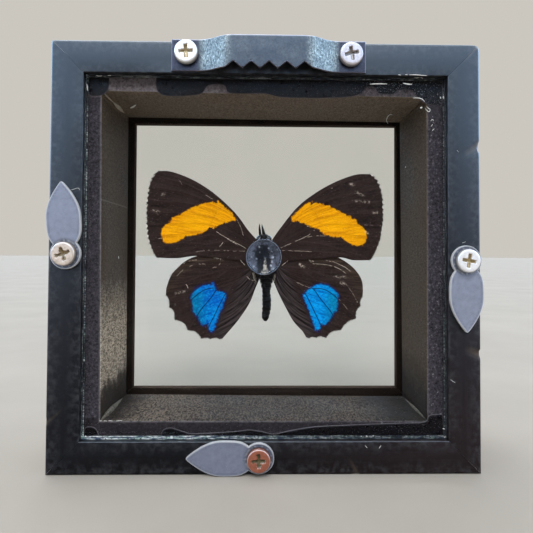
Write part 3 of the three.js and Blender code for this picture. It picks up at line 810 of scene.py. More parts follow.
# Each side's turn from the bottom one, then the frame's section: half widths and depths from its back.
SIDE_TURNS = {"bottom": 0, "left": math.pi / 2, "right": -math.pi / 2, "top": math.pi}
HALF, REBATE, WINDOW = 50.0, 42.4, 37.5
DEPTH, LIP_DEPTH, CHAMFER = 32.5, 29.2, 0.45
LINER_OUTER, LINER_INNER = 42.35, 39.2
LINER_BACK, LINER_FRONT = 3.5, 27.1
# Knocks in the outer back edge of the frame: X, Z, radius and depth.
CHIPS = [(50.0, 75.8, 1.5, 0.45), (50.0, 27.6, 1.2, 0.4), (49.8, 99.8, 1.0, 0.5), (-50.0, 12.0, 0.8, 0.2),
         (21.0, 0.0, 0.9, 0.2), (-49.8, 99.8, 0.6, 0.25)]
# Inner corners of the four boards, X and Z from the middle: at their back ends and at their front ends.
BOARD_CORNERS = {(-1, 1): ((-39.1, 38.95), (-38.85, 38.8)), (1, 1): ((38.3, 38.1), (38.0, 38.05)),
                 (1, -1): ((38.25, -38.6), (38.7, -39.35)), (-1, -1): ((-38.4, -38.5), (-38.6, -38.8))}


def lean(points):
    """Shift points of a square box of boards to where the boards stand, a little out of square."""
    x, z = points[:, 0].copy(), points[:, 2] - MIDDLE
    out = np.maximum(np.abs(x), np.abs(z))
    inward = np.clip((LINER_OUTER - out) / (LINER_OUTER - LINER_INNER), 0, 1)
    forward = np.clip((points[:, 1] - BACK_Y - LINER_BACK) / (LINER_FRONT - LINER_BACK), 0, 1)[:, None]
    for (i, j), (back, front) in BOARD_CORNERS.items():
        share = inward * (1 + i * x / LINER_INNER) * (1 + j * z / LINER_INNER) / 4
        corner = (1 - forward) * np.array(back) + forward * np.array(front)
        points[:, [0, 2]] += share[:, None] * (corner - np.array([i, j]) * LINER_INNER)
    return points


def bar(profile, stations, turn, closed_within=0.0):
    """A mitred bar: points, faces and [along, out, depth] of each point.

    Its mitres have a little play, and nearly none inside closed_within.
    """
    local, points = [], []
    for t in np.linspace(-1, 1, stations):
        for out, depth in profile:
            half_play = 0.025 if out > closed_within else 0.003
            along = t * (out - half_play)
            local.append((along, out, depth))
            points.append((along, depth + BACK_Y, -out))
    points, count = np.array(points), len(profile)
    ends = [tuple(range(count))[::-1], tuple(range((stations - 1) * count, stations * count))]
    c, s = math.cos(turn), math.sin(turn)
    turned = np.column_stack([points[:, 0] * c + points[:, 2] * s, points[:, 1],
                              points[:, 2] * c - points[:, 0] * s + MIDDLE])
    return turned, bands(stations, count) + ends, np.array(local)


def add_moulding(side, material, lip_material):
    c = CHAMFER
    corners = [(REBATE, 0), (HALF - c, 0), (HALF, c), (HALF, DEPTH - c), (HALF - c, DEPTH),
               (WINDOW + c, DEPTH), (WINDOW, DEPTH - c), (WINDOW, LIP_DEPTH), (REBATE, LIP_DEPTH)]
    profile = rounded(corners, radius=0.22, spacing=2.4)
    points, faces, local = bar(profile, 130, SIDE_TURNS[side], closed_within=REBATE - 0.5)
    out, depth = local[:, 1], local[:, 2]
    edge = np.max([bell(np.hypot(out - a, depth - b), 0.5) for a, b in corners], axis=0)
    middle = np.array([0, (DEPTH / 2) + BACK_Y, MIDDLE])
    chip = np.zeros(len(points))
    for x, z, radius, deep in CHIPS:
        centre = np.array([x, BACK_Y, z])
        gap = np.linalg.norm(points - centre, axis=1) / (radius * (1 + 0.35 * wobble(points, 1.3, x)))
        dent = np.clip(1 - gap ** 2, 0, 1)
        inward = middle - centre
        points += dent[:, None] * deep * (inward / np.linalg.norm(inward))
        chip = np.maximum(chip, smooth(dent * 1.4) * 0.35)
    points[:, 1] += np.where(depth < 0.01, 0.03 * np.clip(wobble(points, 0.09, 2.0), 0, 1), 0)
    kinds = [int(len(face) == 4 and out[list(face)].mean() < REBATE - 0.05 and
                 LIP_DEPTH - 0.1 < depth[list(face)].mean() < DEPTH - 0.5) for face in faces]
    made = make_mesh(f"frame_{side}", points, faces, [material, lip_material],
                     {"grain": local, "edge": edge, "chip": chip}, kinds, sharp_deg=50)
    piece(made, "frame", "black_wood", f"moulding_{side}")


def add_liner(side, material):
    corners = [(LINER_INNER, LINER_BACK), (LINER_OUTER, LINER_BACK),
               (LINER_OUTER, LINER_FRONT), (LINER_INNER, LINER_FRONT)]
    points, faces, local = bar(rounded(corners, radius=0.18, spacing=1.2), 110, SIDE_TURNS[side])
    out, depth = local[:, 1], local[:, 2]
    edge = bell(np.hypot(out - LINER_INNER, depth - LINER_BACK), 0.28)
    points = lean(points)
    points[:, 1] += np.abs(wobble(points, 1.1, 5.0) * 0.06 * edge)
    rear = (depth < LINER_BACK + 0.02) * 1.0
    made = make_mesh(f"board_{side}", points, faces, [material], {"edge": edge, "rear": rear}, sharp_deg=50)
    piece(made, "frame", "liner_board", f"liner_{side}")


# ---- panes and sealant --------------------------------------------------------------------------

def add_rear_pane(glass, ground):
    """The rear pane with its arris ground off, broadly along its foot."""
    (x0, y0, z0), (x1, y1, z1) = (np.array(corner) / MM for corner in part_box("rear_pane"))
    arris = 0.14
    points = []
    for depth, side, foot in ((y0, 0.16, 0.85), (y0 + arris, 0, 0), (y1 - arris, 0, 0), (y1, 0.16, 0.3)):
        left, right, low, high = x0 + side, x1 - side, z0 + foot, z1 - side
        points += [(left, depth, low), (right, depth, low), (right, depth, high), (left, depth, high)]
    faces = [(0, 1, 2, 3), (15, 14, 13, 12)] + bands(4, 4, outward=False)
    kinds = [0, 0] + [int(ring != 1 or k == 0) for ring in range(3) for k in range(4)]
    made = make_mesh("glass_rear", points, faces, [glass, ground], None, kinds, sharp_deg=5)
    piece(made, "frame", "pane_glass", "rear_pane")


# Edges of the squeezed-out sealant: X and Z from the middle of the frame.
SEALANT = {
    "sealant_top": [
        (-26.3, 42.1), (-26.1, 39.4), (-24.7, 38.1), (-21.8, 37.8), (-18.3, 38), (-15.4, 38.6),
        (-13.8, 40.5), (-10.2, 40.6), (-9.2, 38.9), (-6.4, 38.6), (-0.7, 38.7), (3.2, 37.9), (10, 37.7),
        (18.8, 38), (22.4, 38.9), (23.8, 40.4), (25.7, 40.4), (26.9, 39), (30.1, 38.8), (31.5, 39.8),
        (34.7, 39.7), (35.9, 38.2), (38, 36.7), (40.2, 36.3), (41.9, 36.6), (42.1, 42.1)],
    "sealant_top_left": [
        (-42.1, 42.1), (-42.1, 38.3), (-40.5, 37.7), (-38.6, 38.1), (-37.5, 39.3), (-37.2, 42.1)],
    "sealant_bottom": [
        (42.1, -42.1), (41.9, -37.4), (40.5, -37.1), (38.6, -37.4), (37.6, -38.8), (31.9, -39.1),
        (22.7, -39.4), (11.8, -39.9), (5.4, -40.9), (2.1, -41.6), (-0.7, -41), (-3.5, -40.6),
        (-6.3, -40.9), (-10.6, -41.2), (-14.6, -41.4), (-17.6, -41.4), (-19.9, -40.7), (-22, -40.1),
        (-23.7, -40.6), (-24.4, -42.1)],
    "sealant_bottom_left": [
        (-38.7, -42.1), (-38.8, -41.3), (-39.5, -40.2), (-40.7, -39.8), (-41.9, -40.2), (-42.1, -42.1)],
}


def add_sealant(material):
    near, far, lip = 3.225, 3.475, 0.03
    middle = (near + far) / 2
    for name, points in SEALANT.items():
        outline = resample(closed(spline(points, 6)), 0.35)[:-1]
        flat, triangles, gap = triangulate(outline, 0.7, insets=(0.12, 0.3))
        half = lip + ((far - near) / 2 - lip) * rounding(gap, 0.3)
        made = plate("seal" + name[7:], flat + [0, MIDDLE], triangles, (middle - half, middle + half),
                     [material], {"rim": bell(gap, 0.1)})
        piece(made, "frame", "sealant", name)


# ---- hanger, screws and turn buttons ------------------------------------------------------------

# X and Z from the middle of the frame, then degrees: a hanger screw's cross, or a button's leaf and its
# screw's cross.
HANGER_SCREWS = {"left": (-18.6, 46.9, 4), "right": (19.5, 46.8, 12)}
BUTTONS = {"left": (-45.7, 0.4, 94, 20), "right": (46.3, -0.8, 270.5, -9), "bottom": (-1.4, -45.93, 180, 3)}
SHANK_RADIUS, HEAD_RADIUS, HEAD_HEIGHT, SHANK_LENGTH = 1.1, 2.75, 1.5, 6.0


def add_hanger(material):
    centre, pitch, thickness, arch, hole = 0.45, 4.08, 0.6, 2.0, 1.3
    lower = [(-22.55, 42.8), (-16.2, 42.8), (-13.2, 42.93), (-10.6, 43.15), (-9.9, 43.3)]
    for tooth in range(-2, 3):
        lower += [(tooth * pitch - 0.05, 44.62), (tooth * pitch + 0.05, 44.62)]
        if tooth < 2:
            lower += [((tooth + 0.5) * pitch - 0.06, 43.02), ((tooth + 0.5) * pitch + 0.06, 43.02)]
    lower += [(-x, z) for x, z in lower[4::-1]]
    upper = [(22.55, 50.1), (16.2, 50.05), (13.2, 50.2), (10, 50.5), (8.2, 50.6)]
    upper += [(-x, z) for x, z in upper[::-1]]
    outline = resample(closed(np.array(lower + upper)), 0.3)[:-1]
    holes = [circle(hole, 24, (x - centre, z)) for x, z, _ in HANGER_SCREWS.values()]
    flat, triangles, gap = triangulate(outline, 0.5, insets=(0.06, 0.15), holes=holes)
    across = np.abs(flat[:, 0])
    reach = np.array([-22.6, -16.2, -15, -13.2, -11, -10, -8.16])
    raised = np.interp(-across, reach, [0, 0, 0.08, 0.35, 0.78, 0.93, 1])
    lift = 0.5 * (arch * smooth(raised)) + 0.5 * arch * raised
    ease = 0.1 * (1 - rounding(gap, 0.12))
    dents = 0.02 * wobble(np.column_stack([flat, gap * 0]), 0.35, 4.0)
    far = -0.05 - lift - dents
    near = far - thickness + ease
    # The sloped parts carry the spangle and its painted sheen, the flat ends are darker, and the edges carry
    # a painted highlight.
    attributes = {"spangle_and_sheen": smooth((across - 8.0) / 2.5) * smooth((17.5 - across) / 2.5),
                  "dull": smooth((across - 15.2) / 1.8), "edge": bell(gap, 0.09) * 0.4}
    made = plate("hanger_plate", flat + [centre, MIDDLE], triangles, (near, far - ease * 0.5), [material],
                 attributes, sharp_deg=45)
    piece(made, "frame", "zinc_plate", "hanger")


def add_screw(name, x, z, seat, cross_deg, material, node, chewed=0.0):
    """A pan-head cross screw with its head towards -Y, its recess chewed by so many mm.

    Seat is the depth of the head's underside, and the cross is turned by an angle.
    """
    rings, sides = 30, 96
    rim_height, arm_half, arm_reach, recess_depth, mouth = 0.35, 0.42, 1.56, 0.8, 0.38
    turn = math.radians(cross_deg)
    points, looks = [], []

    def add_point(u, v, share):
        """A point of the head's face, share of the way from its middle to its rim."""
        a = u * math.cos(turn) + v * math.sin(turn) + chewed * noise.noise(Vector((u * 1.7, v * 1.7, x)))
        b = v * math.cos(turn) - u * math.sin(turn) + chewed * noise.noise(Vector((u * 1.7, v * 1.7, z + 9)))
        arm = 0.0
        for p, q in ((a, b), (b, a)):
            within = smooth((arm_half - 0.05 * abs(p) - abs(q)) / 0.14 + 0.5)
            arm = max(arm, min(within, smooth((arm_reach - abs(p)) / 0.2 + 0.5)))
        deep = arm * (recess_depth - 0.3 * min(1, math.hypot(a, b) / 1.7))
        near_mouth = max(0.0, 1 - 2.8 * abs(arm - mouth))
        lip = chewed * 0.6 * near_mouth * noise.noise(Vector((u * 3, v * 3, 1)))
        height = rim_height + (HEAD_HEIGHT - rim_height) * (1 - share ** 24) ** 0.5
        points.append((x + u, seat + BACK_Y - max(height - deep + lip, 0.3), z + MIDDLE + v))
        # Burrs with painted glints, most at the lower right; a painted glint ring near the rim; painted
        # shade from the side down.
        burr_glint = min(1.0, chewed * 5) * near_mouth * min(1.0, max(0.15, 0.4 + 0.6 * (u - v)))
        edge_glint = 0.5 * bell(share - 0.93, 0.025)
        looks.append((arm, burr_glint, edge_glint, min(1.0, max(0.0, (share - 0.955) / 0.03))))

    around = [2 * math.pi * k / sides for k in range(sides)]
    for share in np.arange(1, rings + 1) / rings:
        for angle in around:
            add_point(HEAD_RADIUS * share * math.cos(angle), HEAD_RADIUS * share * math.sin(angle), share)
    stations = [(HEAD_RADIUS, 0.12), (HEAD_RADIUS - 0.12, 0.0), (SHANK_RADIUS, 0.0),
                (SHANK_RADIUS, -1.0), (SHANK_RADIUS, -SHANK_LENGTH + 1), (0.05, -SHANK_LENGTH)]
    for radius, height in stations:
        for angle in around:
            points.append((x + radius * math.cos(angle), seat + BACK_Y - height,
                           z + MIDDLE + radius * math.sin(angle)))
            looks.append((0, 0, 0, 1))
    loops, centre = rings + len(stations), len(points)
    add_point(0, 0, 0)
    faces = bands(loops, sides) + [(centre, (k + 1) % sides, k) for k in range(sides)]
    faces.append(tuple((loops - 1) * sides + k for k in range(sides)))
    # The painted glint ring is kept as lip and the painted side shade as wall.
    attributes = dict(zip(("recess", "burr_glint", "lip", "wall"), np.array(looks).T))
    made = make_mesh(name, points, [face[::-1] for face in faces], [material], attributes, sharp_deg=60)
    piece(made, "frame", "screw_steel", node)


def button_outline():
    """The leaf with a round eye at the origin, pointing along +X."""
    waist, widest, tip = (2.3, 2.65), (8.4, 3.95), 16.6
    eye = math.hypot(*waist)

    def bezier(a, b, c, d, steps=20):
        t = np.linspace(0, 1, steps + 1)[:-1, None]
        a, b, c, d = (np.array(p, float) for p in (a, b, c, d))
        return (1 - t) ** 3 * a + 3 * t * (1 - t) ** 2 * b + 3 * t * t * (1 - t) * c + t ** 3 * d

    first = bezier(waist, (waist[0] + 1.6, widest[1]), (widest[0] - 3.2, widest[1]), widest)
    second = bezier(widest, (widest[0] + 3.4, widest[1]), (tip - 1.6, 1.5), (tip, 0.15))
    upper = np.vstack([first, second])
    start = math.atan2(waist[1], waist[0])
    angles = np.linspace(2 * math.pi - start, start, 60)[:-1]
    arc = np.column_stack([eye * np.cos(angles), eye * np.sin(angles)])
    lower = upper[::-1] * [1, -1]
    return np.vstack([upper, [(tip, 0.0)], lower, arc[1:]])


def add_button(side, material):
    x, z, turn_deg, _ = BUTTONS[side]
    near_depth, far_depth, hole = -1.1, -0.1, 1.18
    outline = resample(closed(button_outline()), 0.24)[:-1]
    flat, triangles, _ = triangulate(outline, 0.42, insets=(0.09, 0.2, 0.34), holes=[circle(hole, 32)])
    gap, _ = distance_to_line(flat, closed(outline))
    bevel = rounding(gap, 0.14)
    out = np.hypot(flat[:, 0], flat[:, 1])
    crown = 0.05 * smooth(gap / 2.5) * (out > 3.2)
    step = 0.12 * smooth((3.25 - out) / 0.12)
    near = near_depth + 0.3 * (1 - bevel) + step * smooth(gap / 0.35) + 0.02 - crown * 0.4
    # Painted highlights at the rim and round the eye, and a painted shade line just inside the rim.
    attributes = {"rim": np.maximum(bell(gap, 0.19), 0.5 * bell(out - 3.0, 0.09)),
                  "eye": smooth((3.5 - out) / 0.5) * smooth(gap / 0.3),
                  "bevel_shade": 0.55 * bell(gap - 0.5, 0.16)}
    c, s = math.cos(math.radians(turn_deg)), math.sin(math.radians(turn_deg))
    placed = np.column_stack([flat[:, 0] * c - flat[:, 1] * s + x,
                              flat[:, 0] * s + flat[:, 1] * c + z + MIDDLE])
    made = plate(f"button_leaf_{side}", placed, triangles, (near, far_depth - 0.12 * (1 - bevel)),
                 [material], attributes, sharp_deg=55)
    piece(made, f"button_{side}", "frosted_plastic", f"turn_button_{side}")


# ---- wings --------------------------------------------------------------------------------------

# Outlines from the root along the leading edge, X and Z from the middle of the frame.
FOREWING = {
    "left": [(-1.2, 3), (-4.4, 6.4), (-7.9, 11), (-13.2, 15.9), (-18.7, 19.4), (-24.2, 21.5), (-27.5, 21.7),
             (-29.4, 19.6), (-30.4, 15.2), (-30.6, 9.6), (-30.2, 4.6), (-28.9, 1), (-27.4, -0.6),
             (-22.7, -0.7), (-17.8, -0.1), (-12, -0.7), (-6.5, -1.1), (-1.2, -1.3)],
    "right": [(1, 3.2), (3.6, 7), (8, 12.5), (12.6, 16.2), (17.9, 19.2), (23.1, 21.1), (26.7, 21.3),
              (29, 19.3), (30.1, 15.1), (30.3, 10), (29.7, 5.1), (28.6, 1.9), (26.7, -1), (22.5, -1),
              (18.9, -0.3), (12, -0.8), (6.5, -1.2), (1, -1.4)],
}
HINDWING = {
    "left": {
        "leading": [(-1.2, -0.8), (-8, 0.5), (-13, 0.4), (-17.6, -0.1), (-20.9, -1.6), (-24.1, -4.8),
                    (-25.5, -8.4)],
        "teeth": [(-25.6, -10.2), (-24.7, -13.2), (-23.2, -16.4), (-19.9, -19.1), (-16.4, -21.3),
                  (-14.1, -21.4), (-11.9, -21.5), (-11, -21.3)],
        "trailing": [(-9.8, -19.9), (-7.4, -17.1), (-5, -13.7), (-3.7, -11.3), (-2.7, -8.6), (-1.2, -5)],
    },
    "right": {
        "leading": [(1.2, -0.8), (8, 0.5), (13, 0.4), (18.2, -0.1), (22.5, -2.8), (24.8, -6), (25.2, -9)],
        "teeth": [(25.1, -10.4), (24.5, -12.8), (23.3, -16.1), (19.5, -19), (15.6, -21), (13.1, -21),
                  (11.2, -21.2), (10.5, -20.9)],
        "trailing": [(9.6, -19.4), (7.2, -16.8), (5.1, -13.1), (3.7, -10.4), (2.7, -8.2), (1.4, -5)],
    },
}
# The colour fields' outlines, X and height above the frame's foot.
BAND = {
    "left": [(-12.6, 64.2), (-11.4, 63.3), (-10.1, 62.2), (-9.0, 61.2), (-7.9, 60.0), (-7.7, 58.7),
             (-8.8, 59.1), (-9.7, 58.5), (-10.8, 58.4), (-12.1, 57.7), (-13.5, 57.0), (-14.4, 57.4),
             (-15.3, 56.4), (-16.2, 55.7), (-17.5, 55.3), (-18.8, 55.2), (-20.6, 54.9), (-21.3, 54.2),
             (-22.6, 53.6), (-24.2, 53.0), (-25.6, 53.1), (-26.6, 53.7), (-26.5, 54.3), (-27.0, 55.4),
             (-26.9, 56.5), (-26.1, 57.6), (-24.7, 58.5), (-24.4, 59.4), (-23.3, 60.1), (-22.3, 60.4),
             (-20.5, 61.6), (-18.7, 62.4), (-17.2, 63.1), (-15.4, 63.6), (-13.9, 63.8), (-12.6, 63.5)],
    "right": [(11.9, 64.2), (11.5, 63.3), (12.6, 63.8), (14.1, 63.5), (16.3, 63.0), (18.1, 62.1),
              (19.8, 61.2), (21.6, 60.3), (23.4, 59.4), (23.8, 58.4), (24.9, 57.5), (26.0, 56.4),
              (26.1, 54.9), (25.7, 53.8), (25.1, 52.8), (23.4, 52.6), (22.0, 53.1), (20.5, 53.9),
              (19.8, 54.7), (17.6, 55.0), (15.4, 55.4), (14.4, 56.3), (13.3, 57.2), (12.1, 57.4),
              (10.6, 58.0), (9.3, 58.6), (7.9, 59.1), (6.8, 58.9), (6.5, 59.9), (8.4, 61.8), (10.2, 63.7)],
}
BLUE = {
    "left": [(-13.4, 43.4), (-14.2, 42.5), (-15.4, 42.7), (-17.9, 41.6), (-19.1, 39.9), (-19.2, 38.9),
             (-18.9, 37.6), (-18.8, 35.6), (-18.0, 34.7), (-17.4, 33.9), (-16.8, 32.5), (-15.9, 31.9),
             (-14.8, 32.5), (-14.7, 30.9), (-13.8, 30.2), (-13.1, 30.9), (-12.6, 32.5), (-11.9, 34.6),
             (-10.9, 36.8), (-10.2, 38.9), (-10.1, 40.3), (-11.3, 40.8), (-12.5, 41.1), (-13.0, 42.3)],
    "right": [(12.0, 42.1), (13.1, 42.7), (14.5, 42.9), (16.4, 42.4), (18.0, 41.4), (19.0, 39.9),
              (18.8, 39.0), (18.7, 37.6), (18.7, 36.2), (17.8, 35.3), (17.3, 34.3), (16.6, 33.2),
              (15.5, 32.2), (14.5, 32.4), (14.3, 31.3), (13.6, 30.5), (12.8, 31.0), (12.3, 32.4),
              (11.9, 33.9), (11.2, 35.7), (10.5, 37.4), (9.8, 39.1), (9.6, 40.0), (10.3, 40.7),
              (11.3, 41.6)],
}
# Veins of a right wing, X and height above the frame's foot. The left ones are nearly their mirror.
FORE_VEINS = [
    [(1.5, 52.9), (4.2, 56.8), (8.2, 61.6), (12.8, 65.4), (18, 68.4), (24, 70.4)],
    [(2, 52.6), (6.3, 58), (11, 62.6), (14.5, 65.2), (20.5, 68.3), (26.8, 69.9)],
    [(11, 62.6), (15.5, 64.3), (22, 66.4), (28.9, 67.6)],
    [(12.6, 61.6), (20, 63.4), (30.0, 64.2)],
    [(13.4, 59.8), (21, 60.9), (30.3, 61.1)],
    [(14, 58.3), (24.6, 58.2), (27.3, 58.0), (30, 57.9)],
    [(3.9, 52.1), (7.9, 53.9), (10.7, 55.2), (12.8, 56.9), (19.5, 55.8), (29.8, 54.8)],
    [(10.7, 55.1), (12.8, 55.2), (15.3, 55.2), (22, 53.2), (28.8, 51.9)],
    [(7.9, 53.8), (14, 53.2), (21, 51.2), (27, 49.3)],
    [(4.2, 51.4), (8.2, 51.3), (12.5, 51.1), (19, 50.6), (23.5, 49.3)],
    [(11, 62.6), (12.6, 61.6), (13.4, 59.8), (14, 58.3), (12.8, 56.9)],
]
HIND_VEINS = [
    [(3, 48.6), (8, 49.3), (14, 48.9), (19.5, 47.0), (24.3, 42.0)],
    [(3, 47.8), (9, 46.8), (15, 45.2), (20.6, 43.1), (22.4, 40.6), (24.9, 38.2)],
    [(9, 46.8), (13.5, 43.6), (16.5, 42.4), (20.5, 39.2), (24.4, 37.3)],
    [(12.3, 41.6), (14.1, 41.6), (16.2, 40.9), (18.3, 39.3), (20.6, 37.0), (23.3, 33.9)],
    [(3, 46.8), (5.6, 44.6), (8.0, 43.2), (10.1, 42.3), (12.3, 41.5), (14.1, 39.1), (15.5, 37.4),
     (17.1, 35.3), (19.5, 31.1)],
    [(8.0, 43.2), (10.3, 40.2), (11.7, 37.6), (12.9, 35.1), (14.3, 32.2), (15.6, 29.1)],
    [(2.6, 46.4), (5.4, 42.2), (8.2, 36.4), (11.2, 28.9)],
    [(2.2, 45.6), (3.9, 41.6), (6.2, 36.6), (8.4, 32.6)],
]
# Pale strokes on the upper side: width, strength and line.
STROKES = {
    "forewing_left": [
        (0.13, 0.55, [(-5.1, 51.9), (-8.4, 53.7), (-11.2, 55.2), (-13.0, 56.4)]),
        (0.16, 0.75, [(-10.0, 54.4), (-7.5, 53.0)]), (0.16, 0.8, [(-11.9, 52.3), (-11.0, 53.4)]),
        (0.3, 0.35, [(-28.7, 61.5), (-27.6, 61.1)]), (0.25, 0.4, [(-26.7, 65.5), (-26.1, 66.0)]),
        (0.14, 0.5, [(-15.6, 65.6), (-13.7, 64.5)]), (0.14, 0.3, [(-22.3, 69.3), (-21.6, 68.2)]),
        (0.12, 0.4, [(-7.6, 59.5), (-6.6, 57.7), (-5.8, 55.2)]),
        (0.12, 0.35, [(-18.8, 50.9), (-13.6, 51.4), (-8.7, 51.2), (-5.1, 51.2)]),
        (0.12, 0.6, [(-28.3, 54.3), (-26.6, 54.4)]),
    ],
    "forewing_right": [
        (0.13, 0.6, [(3.9, 52.1), (7.9, 53.9), (10.7, 55.2), (12.8, 56.9)]),
        (0.12, 0.45, [(10.7, 54.9), (12.8, 55.2), (15.3, 55.2)]),
        (0.12, 0.5, [(4.2, 51.4), (8.2, 51.3), (12.5, 51.1)]),
        (0.1, 0.3, [(24.6, 58.2), (27.3, 58.0), (29.8, 57.9)]),
        (0.25, 0.5, [(21.9, 68.7), (22.7, 68.5)]), (0.28, 0.3, [(23.3, 66.5), (25.2, 65.9)]),
        (0.28, 0.26, [(22.7, 64.3), (26.7, 64.0)]), (0.15, 0.5, [(16.8, 67.5), (17.7, 67.8)]),
        (0.25, 0.34, [(27.7, 61.3), (28.9, 61.3)]), (0.15, 0.6, [(10.7, 57.5), (11.1, 57.8)]),
        (0.25, 0.4, [(25.8, 56.3), (26.4, 55.9)]),
    ],
    "hindwing_left": [
        (0.22, 0.6, [(-13.3, 49.6), (-11.2, 49.0)]),
        (0.16, 0.4, [(-24.7, 44.6), (-22.4, 47.0), (-19.7, 48.6), (-17.3, 48.9)]),
        (0.16, 0.3, [(-23.3, 44.1), (-21.2, 46.3), (-18.2, 47.7), (-15.4, 47.8)]),
        (0.13, 0.7, [(-12.1, 47.5), (-11.5, 48.3)]), (0.16, 0.6, [(-13.7, 46.9), (-12.7, 47.1)]),
        (0.17, 0.8, [(-20.4, 42.7), (-19.9, 41.6)]), (0.3, 0.3, [(-23.0, 40.3), (-20.9, 40.8)]),
        (0.15, 0.8, [(-6.8, 49.3), (-6.2, 48.5), (-5.4, 47.6)]),
        (0.14, 0.6, [(-4.9, 44.7), (-4.1, 43.9), (-3.2, 43.6)]),
    ],
    "hindwing_right": [
        (0.2, 0.85, [(11.2, 48.9), (12.2, 48.7), (12.6, 48.3)]), (0.25, 0.6, [(8.9, 47.8), (9.8, 47.2)]),
        (0.15, 0.5, [(15.6, 48.9), (18.1, 48.3), (20.6, 47.1), (22.7, 45.5)]),
        (0.14, 0.5, [(12.2, 48.0), (15.6, 47.8), (18.7, 46.9), (21.2, 45.2)]),
        (0.3, 0.75, [(19.6, 43.1), (20.3, 42.8)]),
        (0.1, 0.45, [(20.6, 43.1), (22.4, 40.6), (24.1, 37.4)]),
        (0.1, 0.5, [(19.0, 38.9), (20.6, 37.0), (22.3, 35.0)]),
        (0.1, 0.45, [(8.0, 43.2), (10.1, 42.3), (12.3, 41.6)]),
        (0.15, 0.8, [(6.4, 49.5), (5.3, 48.4), (4.2, 47.5)]), (0.3, 0.3, [(18.1, 44.6), (20.6, 44.6)]),
    ],
}
# Strokes up to this width are hairlines of their own, wider ones are in the wing's colours.
WIDEST_LINE = 0.2
# The wings' depth at the body, their rise to each mm outwards, and half the step between fore and hind.
WING_DEPTH, WING_RISE, WING_STAGGER = 15.0, 0.02, 0.25
# The length of one wave of a forewing's outer margin.
CRENATION = 1.3


def forewing_outline(side):
    """The forewing's closed outline and the outer margin's line."""
    points = np.array(FOREWING[side]) + [0, MIDDLE]
    leading, outer, hind = spline(points[:7], 10), spline(points[5:14], 14)[14:-14], points[12:]
    outer = resample(outer, 0.22)
    along = np.cumsum(np.linalg.norm(np.diff(outer, axis=0, prepend=outer[:1]), axis=1))
    inward = square_to(np.gradient(outer, axis=0))
    inward *= np.sign(((np.array([0, 60]) - outer) * inward).sum(1))[:, None]
    fade = smooth(np.minimum(along, along[-1] - along) / 2.0)
    outer = outer + inward * (0.2 * fade * (0.5 - 0.5 * np.cos(along * 2 * math.pi / CRENATION)))[:, None]
    whole = np.vstack([resample(leading, 0.4)[:-1], outer, resample(spline(hind, 10), 0.4)[1:]])
    return whole, outer


def hindwing_outline(side):
    shape = HINDWING[side]
    teeth = np.array(shape["teeth"], float)
    margin = []
    for tip, other in zip(teeth, teeth[1:]):
        middle = (tip + other) / 2
        hollow = 1.2 * min(1, np.linalg.norm(other - tip) / 4)
        control = middle - middle / np.linalg.norm(middle) * hollow
        for t in np.linspace(0, 1, 13)[:-1]:
            margin.append((1 - t) ** 2 * tip + 2 * t * (1 - t) * control + t * t * other)
    margin = np.array([*margin, teeth[-1]]) + [0, MIDDLE]
    leading = spline(np.array(shape["leading"]) + [0, MIDDLE], 8)
    trailing = spline(np.array(shape["trailing"]) + [0, MIDDLE], 8)
    whole = np.vstack([resample(leading, 0.4), margin, resample(trailing, 0.4)])
    return whole, margin


